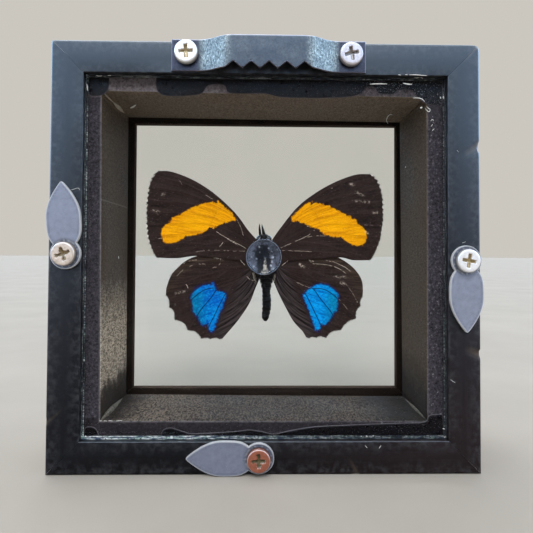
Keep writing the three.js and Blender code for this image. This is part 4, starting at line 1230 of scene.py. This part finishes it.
def wing_upper(kind):
    """Scaled upper side: black ground with an orange band or a blue field."""
    f = Finish(f"{kind}_upper", Specular_IOR_Level=0.04)
    flow = f.attribute("flow", "Vector")
    striae = f.noise(1.0, f.stretched(flow, (2.1, 0.1, 1.0)), 4, 0.7)
    scales = f.noise(1.0, f.stretched(flow, (3.2, 1.6, 1.0)), 3, 0.75)
    ragged = f.times(f.minus(f.noise(1.5, None, 4, 0.75), 0.5), 2.0)
    patches = f.noise(0.3, None, 4)
    vein = f.attribute("vein")
    ground = f.mix((striae, 0.32, 0.7), (15, 10, 10), (50, 37, 35))
    ground = f.mix((scales, 0.5, 0.66, 0.0, 0.55), ground, (66, 52, 49))
    ground = f.mix((patches, 0.5, 0.72, 0.0, 0.4), ground, (56, 45, 44))
    specks = f.span(f.noise(1.7, None, 4, 0.85), 0.62, 0.7)
    ground = f.mix(f.times(specks, f.attribute("worn")), ground, (156, 138, 132))
    ground = f.mix(f.times(vein, 0.3), ground, (66, 52, 50))
    brown = f.mix((striae, 0.35, 0.65), (22, 15, 13), (84, 68, 57))
    ground = f.mix(f.attribute("costal"), ground, brown)
    streaky = f.mix((striae, 0.44, 0.64), (13, 9, 10), (84, 73, 74))
    ground = f.mix(f.attribute("anal"), ground, streaky)
    edge = f.plus(f.attribute("field"), ragged)
    if kind == "forewing":
        colour = f.mix((striae, 0.36, 0.6), (196, 116, 0), (238, 166, 1))
        colour = f.mix((scales, 0.5, 0.66, 0.0, 0.5), colour, (250, 190, 30))
        flecks = f.span(f.noise(1.5, None, 4, 0.85), 0.64, 0.71, 0, 0.8)
        colour = f.mix(flecks, colour, (244, 214, 150))
        colour = f.mix(f.times(vein, 0.3), colour, (160, 84, 0))
        tone = f.mix((edge, -0.2, 0.0), ground, (84, 38, 8))
        tone = f.mix((edge, -0.04, 0.12), tone, colour)
    else:
        grain = f.node("SeparateColor", {0: f.cells(2.6)}).outputs[0]
        colour = f.mix((f.noise(0.3, None, 3), 0.38, 0.62), (0, 84, 184), (0, 132, 212))
        # Painted sheen: the blue is painted brighter on the right hindwing than on the left.
        colour = f.mix((f.axis("X"), -3, 3, 0, 0.6), colour, (0, 166, 244))
        colour = f.mix((striae, 0.34, 0.54, 0.75, 0.0), colour, (0, 52, 150))
        colour = f.mix((scales, 0.36, 0.5, 0.6, 0.0), colour, (0, 70, 150))
        colour = f.mix(f.times(f.attribute("teal"), 0.75), colour, (0, 106, 136))
        colour = f.mix((grain, 0.65, 1.0, 0.0, 0.4), colour, (16, 170, 232))
        colour = f.mix((grain, 0.0, 0.3, 0.4, 0.0), colour, (0, 56, 150))
        colour = f.mix((vein, 0.2, 0.7, 0.0, 0.92), colour, (4, 10, 46))
        tone = f.mix((edge, -0.45, 0.1, 0.0, 0.7), ground, (10, 14, 92))
        tone = f.mix((edge, -0.02, 0.4), tone, colour)
    crumbs = f.span(f.noise(2.2, None, 3, 0.8), 0.5, 0.58)
    tone = f.mix(f.times(f.attribute("pale"), crumbs), tone, (222, 206, 192))
    return f.done(tone,
                  f.span(scales, 0.3, 0.7, 0.5, 0.75),
                  f.plus(scales, f.times(striae, 0.8)), 0.02, 0.4)


def wing_under(kind):
    """Scaled underside: mottled brown with the field in a duller tone and rows of dark lines."""
    f = Finish(f"{kind}_under", Specular_IOR_Level=0.1)
    flow = f.attribute("flow", "Vector")
    striae = f.noise(1.0, f.stretched(flow, (5.5, 0.35, 1.0)), 4, 0.6)
    scales = f.noise(1.0, f.stretched(flow, (9.0, 5.0, 1.0)), 2, 0.6)
    ragged = f.times(f.minus(f.noise(0.9, None, 4, 0.6), 0.5), 1.3)
    ground = f.mix((striae, 0.3, 0.7), (70, 56, 46), (116, 97, 80))
    ground = f.mix((f.noise(0.25, None, 4), 0.42, 0.68), ground, (84, 74, 74))
    margin = f.plus(f.attribute("margin"), ragged)
    for centre, width, colour in ((1.0, 0.3, (44, 34, 30)), (3.4, 0.5, (50, 38, 32)),
                                  (4.3, 0.35, (150, 132, 110))):
        away = f.math("ABSOLUTE", f.minus(margin, centre))
        ground = f.mix((away, width * 0.5, width * 1.2, 0.8, 0.0), ground, colour)
    edge = f.plus(f.attribute("field"), f.times(ragged, 0.4))
    dull = (206, 158, 78) if kind == "forewing" else (96, 104, 116)
    tone = f.mix((edge, -0.25, 0.3, 0.0, 0.85 if kind == "forewing" else 0.4), ground, dull)
    spot = f.attribute("spot")
    tone = f.mix((spot, 0.25, 0.4), tone, (150, 118, 70))
    tone = f.mix((spot, 0.45, 0.55), tone, (28, 22, 22))
    tone = f.mix((spot, 0.82, 0.9), tone, (168, 190, 205))
    tone = f.mix(f.times(f.attribute("vein"), 0.5), tone, (128, 104, 78))
    return f.done(tone,
                  f.span(scales, 0.3, 0.7, 0.55, 0.8),
                  f.plus(scales, f.times(striae, 0.8)), 0.035, 0.6)


def wing_centre(flat, kind, veins, root):
    """Depth of a wing's middle layer, which sags, pleats at the veins and rises towards its tip."""
    stagger = -WING_STAGGER if kind == "forewing" else WING_STAGGER
    level = np.column_stack([flat, np.zeros(len(flat))])
    sag = 0.05 * wobble(level, 0.16, 3.0 if kind == "forewing" else 8.0)
    reach = np.hypot(*(flat - root).T)
    pleat = 0.05 * np.cos(np.clip(nearest_line(flat, veins) / 1.6, 0, 1) * math.pi) * smooth(reach / 6)
    return WING_DEPTH - WING_RISE * np.abs(flat[:, 0]) + stagger + sag - pleat * 0.6


def add_strokes(kind, side, veins, root, material, rng):
    """Pale broken hairlines on the upper side: rubbed veins and stray scales."""
    runs = []
    for width, strength, line in STROKES[f"{kind}_{side}"]:
        if width > WIDEST_LINE:
            continue
        points = resample(spline(line, 6), 0.16)
        points = points + 0.035 * rng.normal(size=points.shape)
        depth = wing_centre(points, kind, veins, root) - 0.075
        for start in range(0, len(points) - 3, 5):
            run = slice(start, min(start + int(rng.integers(4, 8)), len(points)))
            if rng.random() > 0.42 + 0.75 * strength or len(points[run]) < 3:
                continue
            count = len(points[run])
            radius = width * 0.36 * np.sin(np.pi * (np.arange(count) + 0.6) / (count + 0.2)) ** 0.5
            stations = np.column_stack([points[run][:, 0], depth[run] + BACK_Y, points[run][:, 1], radius])
            runs.append((stations, min(1.0, strength * rng.uniform(0.7, 1.3))))
    strands(f"strokes_{kind}_{side}", runs, 5, material, "wing_scales")


def add_wing(kind, side, upper, under):
    name = f"{kind}_{side}"
    mirror = -1 if side == "left" else 1
    fore = kind == "forewing"
    outline, margin = forewing_outline(side) if fore else hindwing_outline(side)
    veins = FORE_VEINS if fore else HIND_VEINS
    veins = [resample(spline(np.array(vein) * [mirror, 1], 8), 0.3) for vein in veins]
    flat, triangles, _ = triangulate(outline, 0.34, insets=(0.1,), extra=veins, clearance=0.24)
    ridge = bell(nearest_line(flat, veins), 0.13)
    field = signed_distance(flat, np.array((BAND if fore else BLUE)[side], float))
    root = np.array([3.0 * mirror, 52.0 if fore else 47.5])
    away = flat - root
    reach = np.hypot(*away.T)
    angle = np.arctan2(away[:, 1], away[:, 0] * mirror)
    flow = np.column_stack([angle * (6 + 0.45 * reach), reach, np.zeros(len(flat))])
    pale = np.zeros(len(flat))
    for width, strength, line in STROKES[name]:
        if width > WIDEST_LINE:
            gap, _ = distance_to_line(flat, resample(np.array(line, float), 0.4))
            pale = np.maximum(pale, min(1, 1.6 * strength) * bell(gap, width))
    margin_gap, _ = distance_to_line(flat, margin)
    worn = smooth((9 - margin_gap) / 9) * (0.6 if fore else 0.4)
    across = np.abs(flat[:, 0])
    costal = np.zeros(len(flat))
    anal = np.zeros(len(flat))
    teal = smooth((across - 14) / 4) * smooth((42 - flat[:, 1]) / 3)
    spot = np.zeros(len(flat))
    if not fore:
        leading = spline(np.array(HINDWING[side]["leading"]) + [0, MIDDLE], 6)
        lead_gap, _ = distance_to_line(flat, leading)
        costal = 0.5 * smooth((4.0 - lead_gap) / 3.4) * smooth((across - 6) / 5)
        anal_gap, _ = distance_to_line(flat, np.array([(2.2, 45.6), (5.0, 40.0), (9.5, 30.0)]) * [mirror, 1])
        anal = 0.9 * smooth((4.2 - anal_gap) / 2.8)
        for x, z, size in ((21.2, 41.0, 1.0), (20.0, 36.8, 1.0), (17.6, 34.0, 0.9), (14.8, 32.6, 0.8)):
            gap = np.hypot(flat[:, 0] - x * mirror, flat[:, 1] - z)
            spot = np.maximum(spot, np.clip(1 - gap / (1.5 * size), 0, 1))
    centre = wing_centre(flat, kind, veins, root)
    half = 0.045 + 0.03 * ridge
    attributes = {"field": field, "vein": ridge, "pale": pale, "worn": worn, "costal": costal, "anal": anal,
                  "teal": teal, "margin": margin_gap, "spot": spot, "flow": flow}
    made = plate(f"wing_{name}", flat, triangles, (centre - half, centre + half), [upper, under],
                 attributes, sharp_deg=70)
    piece(made, "frame", "wing_scales", name)
    return margin, veins, root


def add_fringe(kind, side, margin, veins, material, rng):
    """Short scales along the outer margin, white between the veins and dark at them."""
    fore = kind == "forewing"
    line = resample(margin, 0.07)
    outward = square_to(np.gradient(line, axis=0))
    centre = np.array([(-14 if side == "left" else 14), 60 if fore else 40])
    outward *= np.sign(((line - centre) * outward).sum(1))[:, None]
    vein_gap = nearest_line(line, veins)
    depth = WING_DEPTH - WING_RISE * np.abs(line[:, 0]) + (-WING_STAGGER if fore else WING_STAGGER)
    roots = np.column_stack([line[:, 0], depth + BACK_Y, line[:, 1]])
    roots += np.column_stack([-outward[:, 0] * 0.12, 0.05 * rng.normal(size=len(line)),
                              -outward[:, 1] * 0.12])
    directions = np.column_stack([outward[:, 0], 0.18 * rng.normal(size=len(line)), outward[:, 1]])
    directions[:, 0] += 0.12 * rng.normal(size=len(line))
    lengths = rng.uniform(0.3, 0.5, len(line))
    points, faces = blades(roots, directions, lengths, np.full(len(line), 0.13), np.zeros(3), rng)
    steps = np.linalg.norm(np.diff(margin[::4], axis=0), axis=1).sum()
    phase = np.linspace(0, steps / CRENATION, len(line)) * 2 * math.pi
    hollow = smooth(0.6 - 1.1 * np.cos(phase)) if fore else smooth((vein_gap - 0.6) / 0.5)
    patchy = smooth(0.6 + 1.6 * wobble(roots, 0.35, 2.0))
    light = hollow * patchy * (1.0 if fore else 0.5)
    tone = np.repeat(np.clip(light + 0.15 * rng.normal(size=len(line)), 0, 1), 5)
    made = make_mesh(f"fringe_{kind}_{side}", points, faces, [material], {"tone": tone})
    piece(made, "frame", "wing_scales")


# ---- body, post and glue ------------------------------------------------------------------------

def ball(centre, radii, around=24, rings=16, lumps=0.0, seed=0.0):
    points = [(0, 0, 1)]
    for a in [math.pi * r / rings for r in range(1, rings)]:
        points += [(math.sin(a) * math.cos(b), math.sin(a) * math.sin(b), math.cos(a))
                   for b in whole_turn(around)]
    points = np.array([*points, (0, 0, -1)])
    last = len(points) - 1
    faces = [(0, 1 + k, 1 + (k + 1) % around) for k in range(around)]
    faces += bands(rings - 1, around, 1, False)
    faces += [(last, last - around + (k + 1) % around, last - around + k) for k in range(around)]
    if lumps:
        points = points * (1 + lumps * wobble(points, 1.8, seed))[:, None]
    return points * radii + centre, faces


# Stations of the body from the frame's middle and the wings' depth: X, Z and radius of the abdomen, whose
# rings are a segment apart, and X, Y, Z and radius of the legs and palps.
ABDOMEN = [(0.2, -2.5, 1.75), (0.2, -5, 1.8), (0.2, -7, 1.4), (0.15, -9, 0.92), (0.3, -11, 1.04),
           (0.3, -13, 1.04), (0.15, -14.6, 0.94), (0, -15.7, 0.86), (0, -16.4, 0.66), (0, -16.8, 0.35)]
AXIS_Y = WING_DEPTH + BACK_Y
LEG_STATIONS = [(0.9, 1.4, 0, 0.3), (1.7, 2.3, 0.4, 0.3), (2.4, 2.9, 0.6, 0.24), (1.9, 3.3, -0.9, 0.2),
                (1.3, 3.5, -2.6, 0.15), (1.1, 3.35, -4.0, 0.11), (0.9, 3.2, -5.4, 0.07)]
PALPS = [[(-1.3, 0, 4.6, 0.38), (-1.45, 0, 5.5, 0.37), (-1.58, -0.05, 6.5, 0.31),
          (-1.64, -0.1, 7.4, 0.21), (-1.65, -0.15, 8.0, 0.12), (-1.64, -0.2, 8.3, 0.03)],
         [(-0.3, 0, 4.4, 0.5), (-0.42, 0, 5.3, 0.48), (-0.66, -0.05, 6.3, 0.38),
          (-0.88, -0.1, 7.2, 0.24), (-1.0, -0.15, 7.9, 0.1), (-1.05, -0.2, 8.25, 0.02)]]
SEGMENT = 1.15


def abdomen_radius(z):
    stations = np.array(ABDOMEN)[::-1]
    return np.interp(z, stations[:, 1], stations[:, 2]), np.interp(z, stations[:, 1], stations[:, 0])


def add_body(material, eye_material):
    """Head, thorax, ringed abdomen, coiled tongue and legs, melted into one skin, with the palps and eyes as
    pieces of their own.
    """
    parts = [ball((0, 0, -0.3), (2.3, 2.05, 4.8), 32, 22, 0.05, 1.0), ball((-0.5, 0, 4.4), (1.3, 1.3, 1.3))]
    parts += [ball((side * 1.5, 0.1, 1.6), (1.25, 1.4, 2.2), lumps=0.05, seed=4.0) for side in (-1, 1)]
    rings = np.linspace(-2.5, -16.8, 140)
    radius, middle = abdomen_radius(rings)
    radius = radius * (0.8 + 0.4 * ((-rings / SEGMENT) % 1.0))
    parts.append(tube(np.column_stack([middle, rings * 0, rings, radius]), 28))
    for side in (-1, 1):
        for height in (2.2, -1.2):
            parts.append(tube([(side * x, y, z + height, r) for x, y, z, r in LEG_STATIONS], 8))
    coil = [(-0.5, 1.25 + 0.45 * math.sin(a) * (1 - a / 22), 4.6 + 0.45 * math.cos(a) * (1 - a / 22), 0.13)
            for a in np.linspace(0, 14, 40)]
    parts.append(tube(coil, 6))
    points, faces = joined(parts)
    points = points + [0, AXIS_Y, MIDDLE]
    rough = make_mesh("butterfly_body", points, faces, [material])
    melt = rough.modifiers.new("melt", "REMESH")
    melt.mode, melt.voxel_size, melt.use_smooth_shade = "VOXEL", 0.13 * MM, True
    bpy.context.view_layer.update()
    skin = bpy.data.meshes.new_from_object(rough.evaluated_get(bpy.context.evaluated_depsgraph_get()))
    rough.modifiers.clear()
    rough.data = skin
    skin.materials.clear()
    skin.materials.append(material)
    piece(rough, "frame", "chitin_black", "body")
    palps = joined([tube(palp, 12) for palp in PALPS])
    made = make_mesh("butterfly_palps", palps[0] + [0, AXIS_Y, MIDDLE], palps[1], [material])
    piece(made, "frame", "chitin_black")
    eyes = joined([ball((x, 0, 4.3), (0.98, 1.05, 1.02), 28, 20) for x in (-1.55, 0.55)])
    made = make_mesh("butterfly_eyes", eyes[0] + [0, AXIS_Y, MIDDLE], eyes[1], [eye_material])
    piece(made, "frame", "chitin_black")


def add_fur(material, pale_material, rng):
    """Hairs of the thorax, head and abdomen, and the pale tufts at the hindwings' inner margins."""
    roots, directions, lengths = [], [], []
    for centre, radii, count, length in (((0, 0, -0.3), (2.3, 2.05, 4.8), 3600, 1.25),
                                         ((-0.5, 0, 4.3), (1.35, 1.3, 1.2), 700, 0.5),
                                         ((0, 0, -3.6), (2.1, 1.9, 2.6), 1400, 1.2)):
        normal = unit(rng.normal(size=(count, 3)))
        combed = np.array([0, 0, -1.25 if centre[2] < 3 else 0.9])
        roots.append(normal * radii * 0.97 + centre)
        directions.append(unit(normal / np.array(radii)) + combed + 0.35 * rng.normal(size=(count, 3)))
        lengths.append(length * rng.uniform(0.55, 1.15, count))
    count = 4200
    z = rng.uniform(-16.5, -4.0, count)
    radius, middle = abdomen_radius(z)
    angle = rng.uniform(0, 2 * math.pi, count)
    outward = np.column_stack([np.cos(angle), np.sin(angle), np.zeros(count)])
    roots.append(np.column_stack([middle, 0 * z, z]) + outward * radius[:, None] * 0.97)
    directions.append(outward * 0.9 + [0, 0, -1] + 0.4 * rng.normal(size=(count, 3)))
    crest = 0.35 + 0.65 * ((-z / SEGMENT) % 1.0)
    lengths.append(rng.uniform(0.15, 0.45, count) * crest * np.clip((z + 17) / 1.6, 0.3, 1))
    roots, directions = np.vstack(roots) + [0, AXIS_Y, MIDDLE], np.vstack(directions)
    lengths = np.concatenate(lengths)
    clear = np.abs(roots[:, 1] - AXIS_Y + 2.1) > 0.5
    clear |= np.hypot(roots[:, 0] + 0.5, roots[:, 2] - MIDDLE) > 1.9
    roots, directions, lengths = roots[clear], directions[clear], lengths[clear]
    widths = rng.uniform(0.05, 0.13, len(roots))
    points, faces = blades(roots, directions, lengths, widths, np.array([0, 0, -0.5]), rng)
    tone = np.repeat(rng.beta(1.2, 4.5, len(roots)), 5)
    made = make_mesh("butterfly_fur", points, faces, [material], {"tone": tone})
    piece(made, "frame", "chitin_black")
    tufts = [((-3.3, 45.6), (-2.2, 42.0), 14), ((2.5, 45.4), (1.9, 42.8), 9),
             ((11.3, 48.9), (12.8, 48.1), 5), ((-13.0, 49.4), (-11.4, 48.9), 4)]
    roots, directions, lengths = [], [], []
    for (x0, z0), (x1, z1), count in tufts:
        for _ in range(count):
            roots.append((x0 + 0.16 * rng.normal(), AXIS_Y - 0.25 - 0.02 * abs(x0),
                          z0 + 0.16 * rng.normal()))
            directions.append((x1 - x0 + 0.2 * rng.normal(), 0.25 * rng.normal(),
                               z1 - z0 + 0.2 * rng.normal()))
            lengths.append(math.hypot(x1 - x0, z1 - z0) * rng.uniform(0.5, 1.05))
    roots, directions = np.array(roots), np.array(directions)
    points, faces = blades(roots, directions, lengths, np.full(len(roots), 0.045), np.zeros(3), rng)
    tone = np.repeat(rng.uniform(0.3, 1.0, len(roots)), 5)
    made = make_mesh("pale_tufts", points, faces, [pale_material], {"tone": tone})
    piece(made, "frame", "wing_scales")


POST_X, POST_Z, POST_RADIUS, POST_BACK, POST_FRONT = -0.5, -0.2, 4.25, 3.25, 12.65
# What shows through the rod: the thorax where it touches the rod's end and the glue's pale run; and painted
# glints.
CONTACT = [(-2.0, 52.3), (-1.2, 52.9), (-0.1, 52.8), (0.6, 52.0), (0.9, 50.9), (0.8, 49.8), (1.35, 48.9),
           (1.4, 47.4), (1.1, 46.4), (0.8, 45.5), (-1.9, 45.5), (-2.2, 46.7), (-2.3, 48.3), (-2.5, 49.2),
           (-2.7, 50.4), (-2.4, 51.6)]
GLUE_RUN = [(-0.1, 49.5), (0.25, 49.1), (0.0, 48.2), (0.1, 47.2), (0.45, 46.3), (0.6, 45.4), (-1.35, 45.4),
            (-1.05, 46.3), (-0.55, 47.0), (-0.5, 48.3)]
GLINTS = [(0.7, 52.0, 0.16), (1.5, 51.1, 0.2), (1.8, 49.6, 0.3), (1.6, 48.6, 0.26), (1.9, 46.7, 0.3),
          (2.7, 51.5, 0.14), (-1.6, 52.2, 0.2), (-3.7, 49.7, 0.2), (-2.3, 49.3, 0.16), (0.9, 50.2, 0.16),
          (1.3, 47.6, 0.18), (-1.5, 50.9, 0.12), (-0.9, 52.1, 0.14), (-3.0, 47.4, 0.14)]


def add_post(clear, frosted):
    """The clear rod with rounded rims. Its front end is sanded and glued, so it is frosted."""
    sides, rounded_by = 96, 0.2
    core = POST_RADIUS - rounded_by
    inner = [(r, POST_BACK + 0.006 * math.sin(r * 9)) for r in np.linspace(0.15, core, 26)]
    rim = [(core + rounded_by * math.sin(a), POST_BACK + rounded_by * (1 - math.cos(a)))
           for a in np.linspace(0.3, math.pi / 2, 5)]
    wall = [(POST_RADIUS + 0.006 * math.sin(d * 2.1), d)
            for d in np.linspace(POST_BACK + 0.7, POST_FRONT - 0.7, 14)]
    end = [(r, POST_FRONT + POST_BACK - d) for r, d in (inner + rim)[::-1]]
    stations = inner + rim + wall + end
    around = [2 * math.pi * k / sides for k in range(sides)]
    points = np.array([(POST_X + radius * math.cos(angle), depth + BACK_Y,
                        POST_Z + MIDDLE + radius * math.sin(angle))
                       for radius, depth in stations for angle in around])
    front = len(inner + rim + wall) + len(rim) - 1
    ends = [tuple(range(sides)), tuple(range(len(points) - 1, len(points) - sides - 1, -1))]
    faces = bands(len(stations), sides, outward=False) + ends
    # The rear rim also takes the frosted finish, painted blue-grey as a highlight.
    kinds = [int(r >= front or len(inner) - 2 < r < len(inner) + 1)
             for r in range(len(stations) - 1) for _ in range(sides)] + [0, 1]
    flat = points[:, [0, 2]]
    level = np.column_stack([flat, np.zeros(len(flat))])
    contact = smooth(0.5 + (signed_distance(flat, np.array(CONTACT)) + 0.35 * wobble(level, 1.6, 1.0)) / 0.5)
    run = smooth(0.5 + (signed_distance(flat, np.array(GLUE_RUN)) + 0.3 * wobble(level, 2.2, 6.0)) / 0.3)
    glint = np.max([bell(np.hypot(flat[:, 0] - x, flat[:, 1] - z), size) for x, z, size in GLINTS], axis=0)
    rear = (points[:, 1] < POST_BACK + BACK_Y + 1) * 1.0
    attributes = {"contact": contact * (1 - rear), "run": run * (1 - rear), "glint": glint * (1 - rear),
                  "rim": rear}
    made = make_mesh("post", points, faces, [clear, frosted], attributes, kinds)
    piece(made, "frame", "clear_acrylic", "mounting_post")


def add_glue(material):
    """The dab between post and thorax, with a run of glue at its lower right."""
    outline = closed_spline([(-1.6, 0.2), (-0.9, 2.1), (0.3, 2.5), (1.4, 1.8), (1.9, 0.4), (1.7, -1.2),
                             (2.0, -2.6), (1.0, -3.4), (0.0, -3.9), (-0.9, -3.6), (-0.8, -2.4),
                             (-1.5, -1.3)], 6)
    flat, triangles, gap = triangulate(resample(closed(outline), 0.25)[:-1], 0.4, insets=(0.12,))
    swell = np.sqrt(np.clip(gap / 1.2, 0, 1))
    lumps = 0.12 * wobble(np.column_stack([flat, gap * 0]), 0.9, 2.0)
    near = np.full(len(flat), POST_FRONT + 0.05)
    far = near + 0.08 + 0.75 * swell + lumps * swell
    made = plate("glue", flat + [0, MIDDLE], triangles, (near, far), [material], {})
    piece(made, "frame", "glue", "glue_dab")


# ---- dust, lint and painted highlights ----------------------------------------------------------

# Flecks and fibres, a few of them painted highlights: depth, half width, and X and Z from the middle of the
# frame.
FLECKS = [
    # The next two are painted highlights: pale strands where light glints along the top sealant.
    (1.17, 0.13, [(24.3, 40.7), (26.2, 40.8), (28.4, 40.8)]),
    (1.17, 0.15, [(32.2, 41.0), (33.4, 40.8), (34.3, 40.8)]),
    (-0.02, 0.09, [(33.3, 42.6), (34.7, 42.62), (36.1, 42.55), (37.5, 42.45)]),
    (-0.02, 0.08, [(30.7, 42.6), (31.4, 42.5)]),
    (-0.02, 0.08, [(32.4, 42.65), (32.9, 42.6)]),
    (1.17, 0.08, [(34.8, 42.4), (35.5, 42.3), (36.2, 42.5), (36.9, 42.1)]),
    (1.17, 0.12, [(41.0, 37.9), (41.1, 37.4)]),
    (1.17, 0.15, [(41.7, 38.1), (41.8, 37.4)]),
    # A painted highlight along the sealant's edge at the top right.
    (1.17, 0.09, [(34.5, 37.5), (36.0, 37.5), (36.8, 37.2), (37.3, 36.6)]),
    (3.4, 0.19, [(36.8, 35.6), (37.0, 35.75), (37.2, 35.7)]),
    (3.25, 0.08, [(37.8, 35.6), (38.3, 35.0), (38.8, 34.7), (39.1, 35.2), (38.6, 35.6), (38.3, 36.0)]),
    (12.0, 0.08, [(32.23, 36.18), (31.64, 36.28), (31.04, 35.79), (30.73, 35.06), (30.71, 34.57),
                  (31.04, 33.98)]),
    (13.6, 0.2, [(-34.9, 37.75), (-34.2, 38.1), (-33.5, 38.6)]),
    (-0.06, 0.045, [(-45.1, 15.0), (-44.3, 15.2), (-43.3, 15.5), (-42.8, 15.0)]),
    (1.17, 0.1, [(-42.0, 40.0), (-41.9, 39.3), (-41.8, 38.5)]),
    (1.17, 0.07, [(-39.9, 42.1), (-39.2, 41.9), (-38.5, 42.0)]),
    (1.17, 0.06, [(-37.2, 42.0), (-36.4, 42.1)]),
    (3.4, 0.06, [(39.3, 32.5), (39.6, 32.9), (40.0, 32.6)]),
    (3.4, 0.06, [(39.6, 30.2), (40.1, 30.6)]),
    (3.4, 0.05, [(39.4, 31.2), (39.7, 31.8)]),
    (-0.02, 0.04, [(42.8, -28.3), (43.4, -28.7), (43.9, -29.0)]),
    (-0.02, 0.04, [(23.0, -43.3), (23.5, -43.9)]),
    (-0.02, 0.04, [(26.2, -44.0), (26.7, -43.3)]),
    (1.17, 0.1, [(22.2, -41.6), (22.4, -41.7)]),
    (1.17, 0.11, [(23.5, -41.5), (23.7, -41.8)]),
    (1.17, 0.11, [(25.0, -41.6), (25.2, -41.5)]),
    (1.17, 0.12, [(41.4, -39.9), (41.8, -40.0)]),
    (1.17, 0.1, [(41.6, -41.8), (41.9, -42.0)]),
    (1.17, 0.12, [(-41.3, -41.4), (-41.0, -41.7)]),
    (3.42, 0.06, [(-38.6, -38.55), (-38.0, -38.5)]),
    (3.42, 0.04, [(-37.6, -38.5), (-36.9, -38.6)]),
    (3.42, 0.05, [(-36.5, -38.5), (-35.6, -38.55)]),
    (3.42, 0.04, [(-34.8, -38.6), (-33.4, -38.45)]),
    (21.3, 0.12, [(38.1, 24.6), (38.13, 24.2)]),
    (18.0, 0.1, [(-38.68, -0.3), (-38.66, -1.0)]),
    (-0.02, 0.035, [(45.6, 3.3), (46.5, 3.6)]),
    (-0.02, 0.035, [(44.5, 25.0), (44.9, 24.6)]),
]


def add_lint_and_highlights(material, rng):
    """Loose fibres and flecks on the glass, in the box and on the back of the frame, and pale strands as
    painted highlights.
    """
    runs = []
    for depth, width, line in FLECKS:
        path = resample(spline(line, 8), 0.12)
        if len(path) < 4:
            path = resample(path, 0.04)
        path = path + 0.012 * rng.normal(size=path.shape)
        swell = np.sin(np.pi * (np.arange(len(path)) + 0.5) / len(path)) ** 0.6
        stations = np.column_stack([path[:, 0], path[:, 0] * 0 + depth + BACK_Y, path[:, 1] + MIDDLE,
                                    width * (0.25 + 0.75 * swell) * rng.uniform(0.75, 1.15, len(path))])
        runs.append((stations, rng.uniform(0.75, 1.0)))
    strands("lint_and_highlights", runs, 7, material, "glue")


def add_corner_gaps(material, rng):
    """Slivers of bare board where the liner's mitres are open, toned with painted light and shade: X, Z, two
    depths, width and tone.
    """
    inner = LINER_INNER - 0.02
    runs = []
    # Painted light and shade: pale slivers at the top left corner, dark ones at the bottom corners.
    for x, z, near, far, wide, tone in ((-inner, inner, 3.7, 13.5, 0.24, 0.85),
                                        (-inner, inner, 12.5, 22.5, 0.6, 0.9),
                                        (-inner, -inner, 3.6, 23.0, 0.85, 0.2),
                                        (inner, -inner, 5.0, 24.0, 0.45, 0.1)):
        share = np.linspace(0, 1, 40)
        depths = near + (far - near) * share
        taper = 0.02 + wide * np.sin(np.pi * share ** 0.75) * (1 + 0.12 * rng.normal(size=40))
        path = lean(np.column_stack([depths * 0 + x, depths + BACK_Y, depths * 0 + z + MIDDLE]))
        runs.append((np.column_stack([path, np.abs(taper)]), tone))
    strands("mitre_gaps", runs, 8, material, "liner_board")


# ---- the whole ----------------------------------------------------------------------------------

def main():
    rng = np.random.default_rng(11)
    add_camera()
    add_stage()
    add_lights()
    wood, lip, board = painted_wood(), lip_paint(), liner_card()
    for side in SIDE_TURNS:
        add_moulding(side, wood, lip)
        add_liner(side, board)
    glass = pane_glass()
    add_rear_pane(glass, pane_edge())
    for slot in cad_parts["front_pane"].material_slots:
        slot.material = glass
    add_sealant(sealant_black())
    add_hanger(zinc_sheet())
    # The bright heads' near white is partly the plated metal and partly a painted reflection.
    bright = screw_metal("screw_bright", (246, 243, 240), (132, 114, 80))
    gold = screw_metal("screw_gold", (240, 221, 203), (104, 88, 62), 0.25)
    copper = screw_metal("screw_copper", (170, 104, 82), (84, 76, 54), 0.1, 0.25)
    dull = screw_metal("screw_dull", (220, 212, 216), (100, 92, 84), 0.2)
    for (side, (x, z, turn)), metal in zip(HANGER_SCREWS.items(), (bright, dull)):
        add_screw(f"screw_hanger_{side}", x, z, -0.7, turn, metal, f"hanger_screw_{side}", 0.1)
    for side, metal, chewed in (("left", gold, 0.3), ("right", bright, 0.05), ("bottom", copper, 0.22)):
        x, z, _, turn = BUTTONS[side]
        add_screw(f"screw_{side}", x, z, -1.2, turn, metal, f"button_screw_{side}", chewed)
    plastic = frosted_plastic()
    for side in BUTTONS:
        add_button(side, plastic)
    stroke = hair_finish("pale_scales", (96, 80, 72), (238, 226, 210))
    fringe = hair_finish("fringe_scales", (30, 24, 24), (235, 230, 222))
    for kind in ("forewing", "hindwing"):
        upper, under = wing_upper(kind), wing_under(kind)
        for side in ("left", "right"):
            margin, veins, root = add_wing(kind, side, upper, under)
            add_fringe(kind, side, margin, veins, fringe, rng)
            add_strokes(kind, side, veins, root, stroke, rng)
    add_body(chitin(), eye_glaze())
    add_fur(hair_finish("dark_fur", (6, 5, 6), (66, 56, 52)),
            hair_finish("pale_hair", (120, 104, 90), (236, 226, 208)), rng)
    add_post(post_acrylic(), post_frost())
    add_glue(glue_resin())
    add_corner_gaps(hair_finish("bare_board", (62, 56, 50), (196, 184, 168)), rng)
    add_lint_and_highlights(hair_finish("lint_and_highlight_fibre", (150, 148, 144), (250, 249, 246)), rng)


main()
